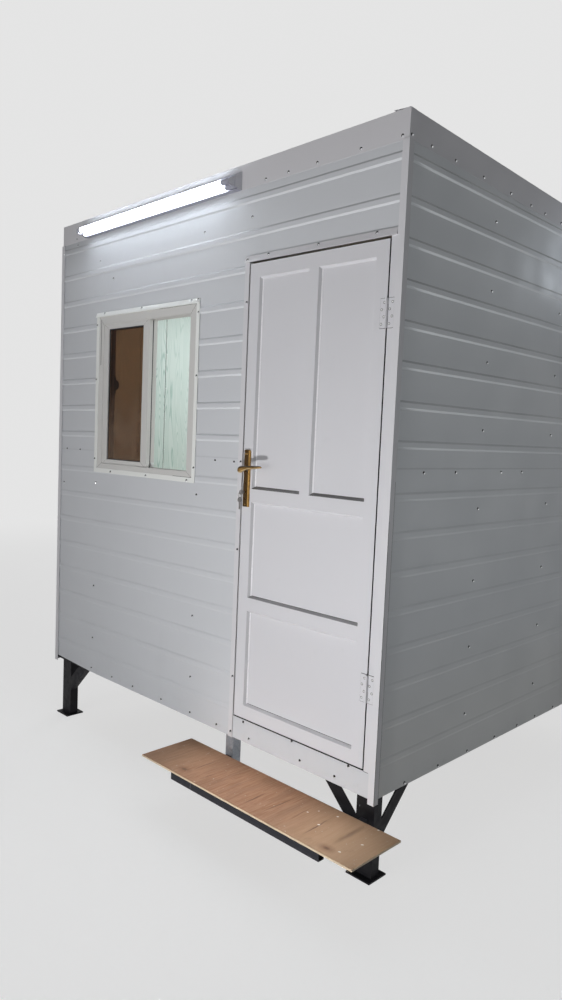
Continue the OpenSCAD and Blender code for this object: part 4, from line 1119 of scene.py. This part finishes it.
def add_floor():
    """A plain floor that camera, glossy and glass rays see paler, and that fades into the backdrop."""
    bpy.ops.mesh.primitive_circle_add(vertices=96, radius=floor_radius, fill_type="NGON")
    floor = bpy.context.object
    floor.name = "stage_floor"
    s = Shade("stage_floor", floor_colour, 0.9)
    away = s.add("ShaderNodeVectorMath", operation="LENGTH")
    s.link(s.place, away.inputs[0])
    far = s.ramp(away.outputs["Value"], fade_from, fade_to)
    rays = s.add("ShaderNodeLightPath")
    seen = s.math("MAXIMUM", rays.outputs["Is Camera Ray"], rays.outputs["Is Glossy Ray"])
    seen = s.math("MAXIMUM", seen, rays.outputs["Is Transmission Ray"])
    pale, lift, none = [s.add("ShaderNodeEmission") for _ in range(3)]
    pale.inputs["Color"].default_value = backdrop
    lift.inputs["Color"].default_value = floor_lift
    none.inputs["Strength"].default_value = 0
    only_seen = s.add("ShaderNodeMixShader")
    s.link(seen, only_seen.inputs["Fac"])
    s.link(none.outputs[0], only_seen.inputs[1])
    s.link(lift.outputs[0], only_seen.inputs[2])
    both = s.add("ShaderNodeAddShader")
    s.link(s.bsdf.outputs[0], both.inputs[0])
    s.link(only_seen.outputs[0], both.inputs[1])
    fade = s.add("ShaderNodeMixShader")
    s.link(s.math("MULTIPLY", far, seen), fade.inputs["Fac"])
    s.link(both.outputs[0], fade.inputs[1])
    s.link(pale.outputs[0], fade.inputs[2])
    s.link(fade.outputs[0], s.out.inputs["Surface"])
    floor.data.materials.append(s.material)


def area_light(name, place, target, size, power, colour=(1, 1, 1), spread=180, off_floor=False):
    """A lamp of a size in metres and a power in watts; off_floor keeps its light off the floor."""
    data = bpy.data.lights.new(name, "AREA")
    data.shape = "RECTANGLE"
    data.size, data.size_y = size
    data.energy = power
    data.color = colour
    data.spread = math.radians(spread)
    light = bpy.data.objects.new(name, data)
    light.location = place
    light.rotation_euler = (target - place).to_track_quat("-Z", "Y").to_euler()
    light.visible_camera = False
    bpy.context.scene.collection.objects.link(light)
    if off_floor:
        kept_off = bpy.data.collections.new(f"{name}_kept_off")
        kept_off.objects.link(bpy.data.objects["stage_floor"])
        kept_off.collection_objects[0].light_linking.link_state = "EXCLUDE"
        light.light_linking.receiver_collection = kept_off


horizon_light, overhead_light = 0.08, 0.02
overhead_from = 0.7


def add_world():
    """Soft light from all round, less of it from overhead; camera, glossy and glass rays see it pale."""
    world = bpy.data.worlds.new("studio")
    bpy.context.scene.world = world
    world.use_nodes = True
    tree = world.node_tree
    tree.nodes.clear()
    link = tree.links.new
    out, rays, seen, lit, mix, glossy, either, sky, split, overhead = [
        tree.nodes.new(f"ShaderNode{kind}") for kind in ("OutputWorld", "LightPath", "Background",
        "Background", "MixShader", "Math", "Math", "TexCoord", "SeparateXYZ", "MapRange")]
    glossy.operation = either.operation = "MAXIMUM"
    link(rays.outputs["Is Camera Ray"], glossy.inputs[0])
    link(rays.outputs["Is Glossy Ray"], glossy.inputs[1])
    link(glossy.outputs[0], either.inputs[0])
    link(rays.outputs["Is Transmission Ray"], either.inputs[1])
    link(sky.outputs["Generated"], split.inputs[0])
    link(split.outputs["Z"], overhead.inputs["Value"])
    for name, number in (("From Min", 0.0), ("From Max", overhead_from), ("To Min", horizon_light),
        ("To Max", overhead_light)):
        overhead.inputs[name].default_value = number
    seen.inputs["Color"].default_value = backdrop
    lit.inputs["Color"].default_value = (0.93, 0.96, 1, 1)
    link(overhead.outputs["Result"], lit.inputs["Strength"])
    link(either.outputs[0], mix.inputs["Fac"])
    link(lit.outputs[0], mix.inputs[1])
    link(seen.outputs[0], mix.inputs[2])
    link(mix.outputs[0], out.inputs["Surface"])


cool = (0.94, 0.98, 1.0)
tube_colour = (0.90, 0.95, 1.0)
glow_colour = (0.82, 0.90, 1.0)
room_colour = (0.97, 0.98, 1.0)


def add_lights():
    front_size, side_size = (3.0, 2.2), (1.2, 1.2)
    side_middle = at(0, 900, 1300)
    area_light("low", at(130, -2250, -300), at(-370, -1732, 1632), (0.12, 0.12), 61.5, off_floor=True)
    area_light("front", at(-300, -5000, 600), at(-500, 0, 900), front_size, 55)
    area_light("front_left", at(-2000, -6000, 1500), at(-900, 0, 1200), front_size, 18)
    area_light("lamp_glow", at(-1530, -420, 2460), at(-1530, 0, 2000), (1.2, 0.1), 0.85, tube_colour)
    area_light("side_near", at(3000, 0, 1500), side_middle, side_size, 16.5, cool)
    area_light("side_far", at(1800, 2600, 900), side_middle, side_size, 2.5, cool)
    area_light("side_glow", at(500, 2350, 2500), at(0, 1800, 2450), (0.3, 0.3), 0.55, glow_colour, 60)
    area_light("rear", at(-5000, 6500, 2500), at(-1200, 1300, 1100), (3.0, 2.0), 90)
    area_light("step", at(-500, -1100, 2300), at(-420, -200, -100), (1.1, 0.3), 1.12, spread=15,
        off_floor=True)
    area_light("room", at(-1220, 1320, 2330), at(-1220, 1320, 0), (1.6, 1.6), 34, room_colour)


dress_nodes()
add_front_screws()
add_fascia_screws()
add_side_screws()
add_roof_screws()
add_small_screws()
add_panel_trims()
add_door_seals()
add_door_gaps()
add_hinge_outlines()
add_lever()
add_window_details()
add_lining_grooves()
add_corner_lines()
add_floor()
add_world()
add_lights()
add_camera()
bpy.context.scene.view_settings.view_transform = "Standard"
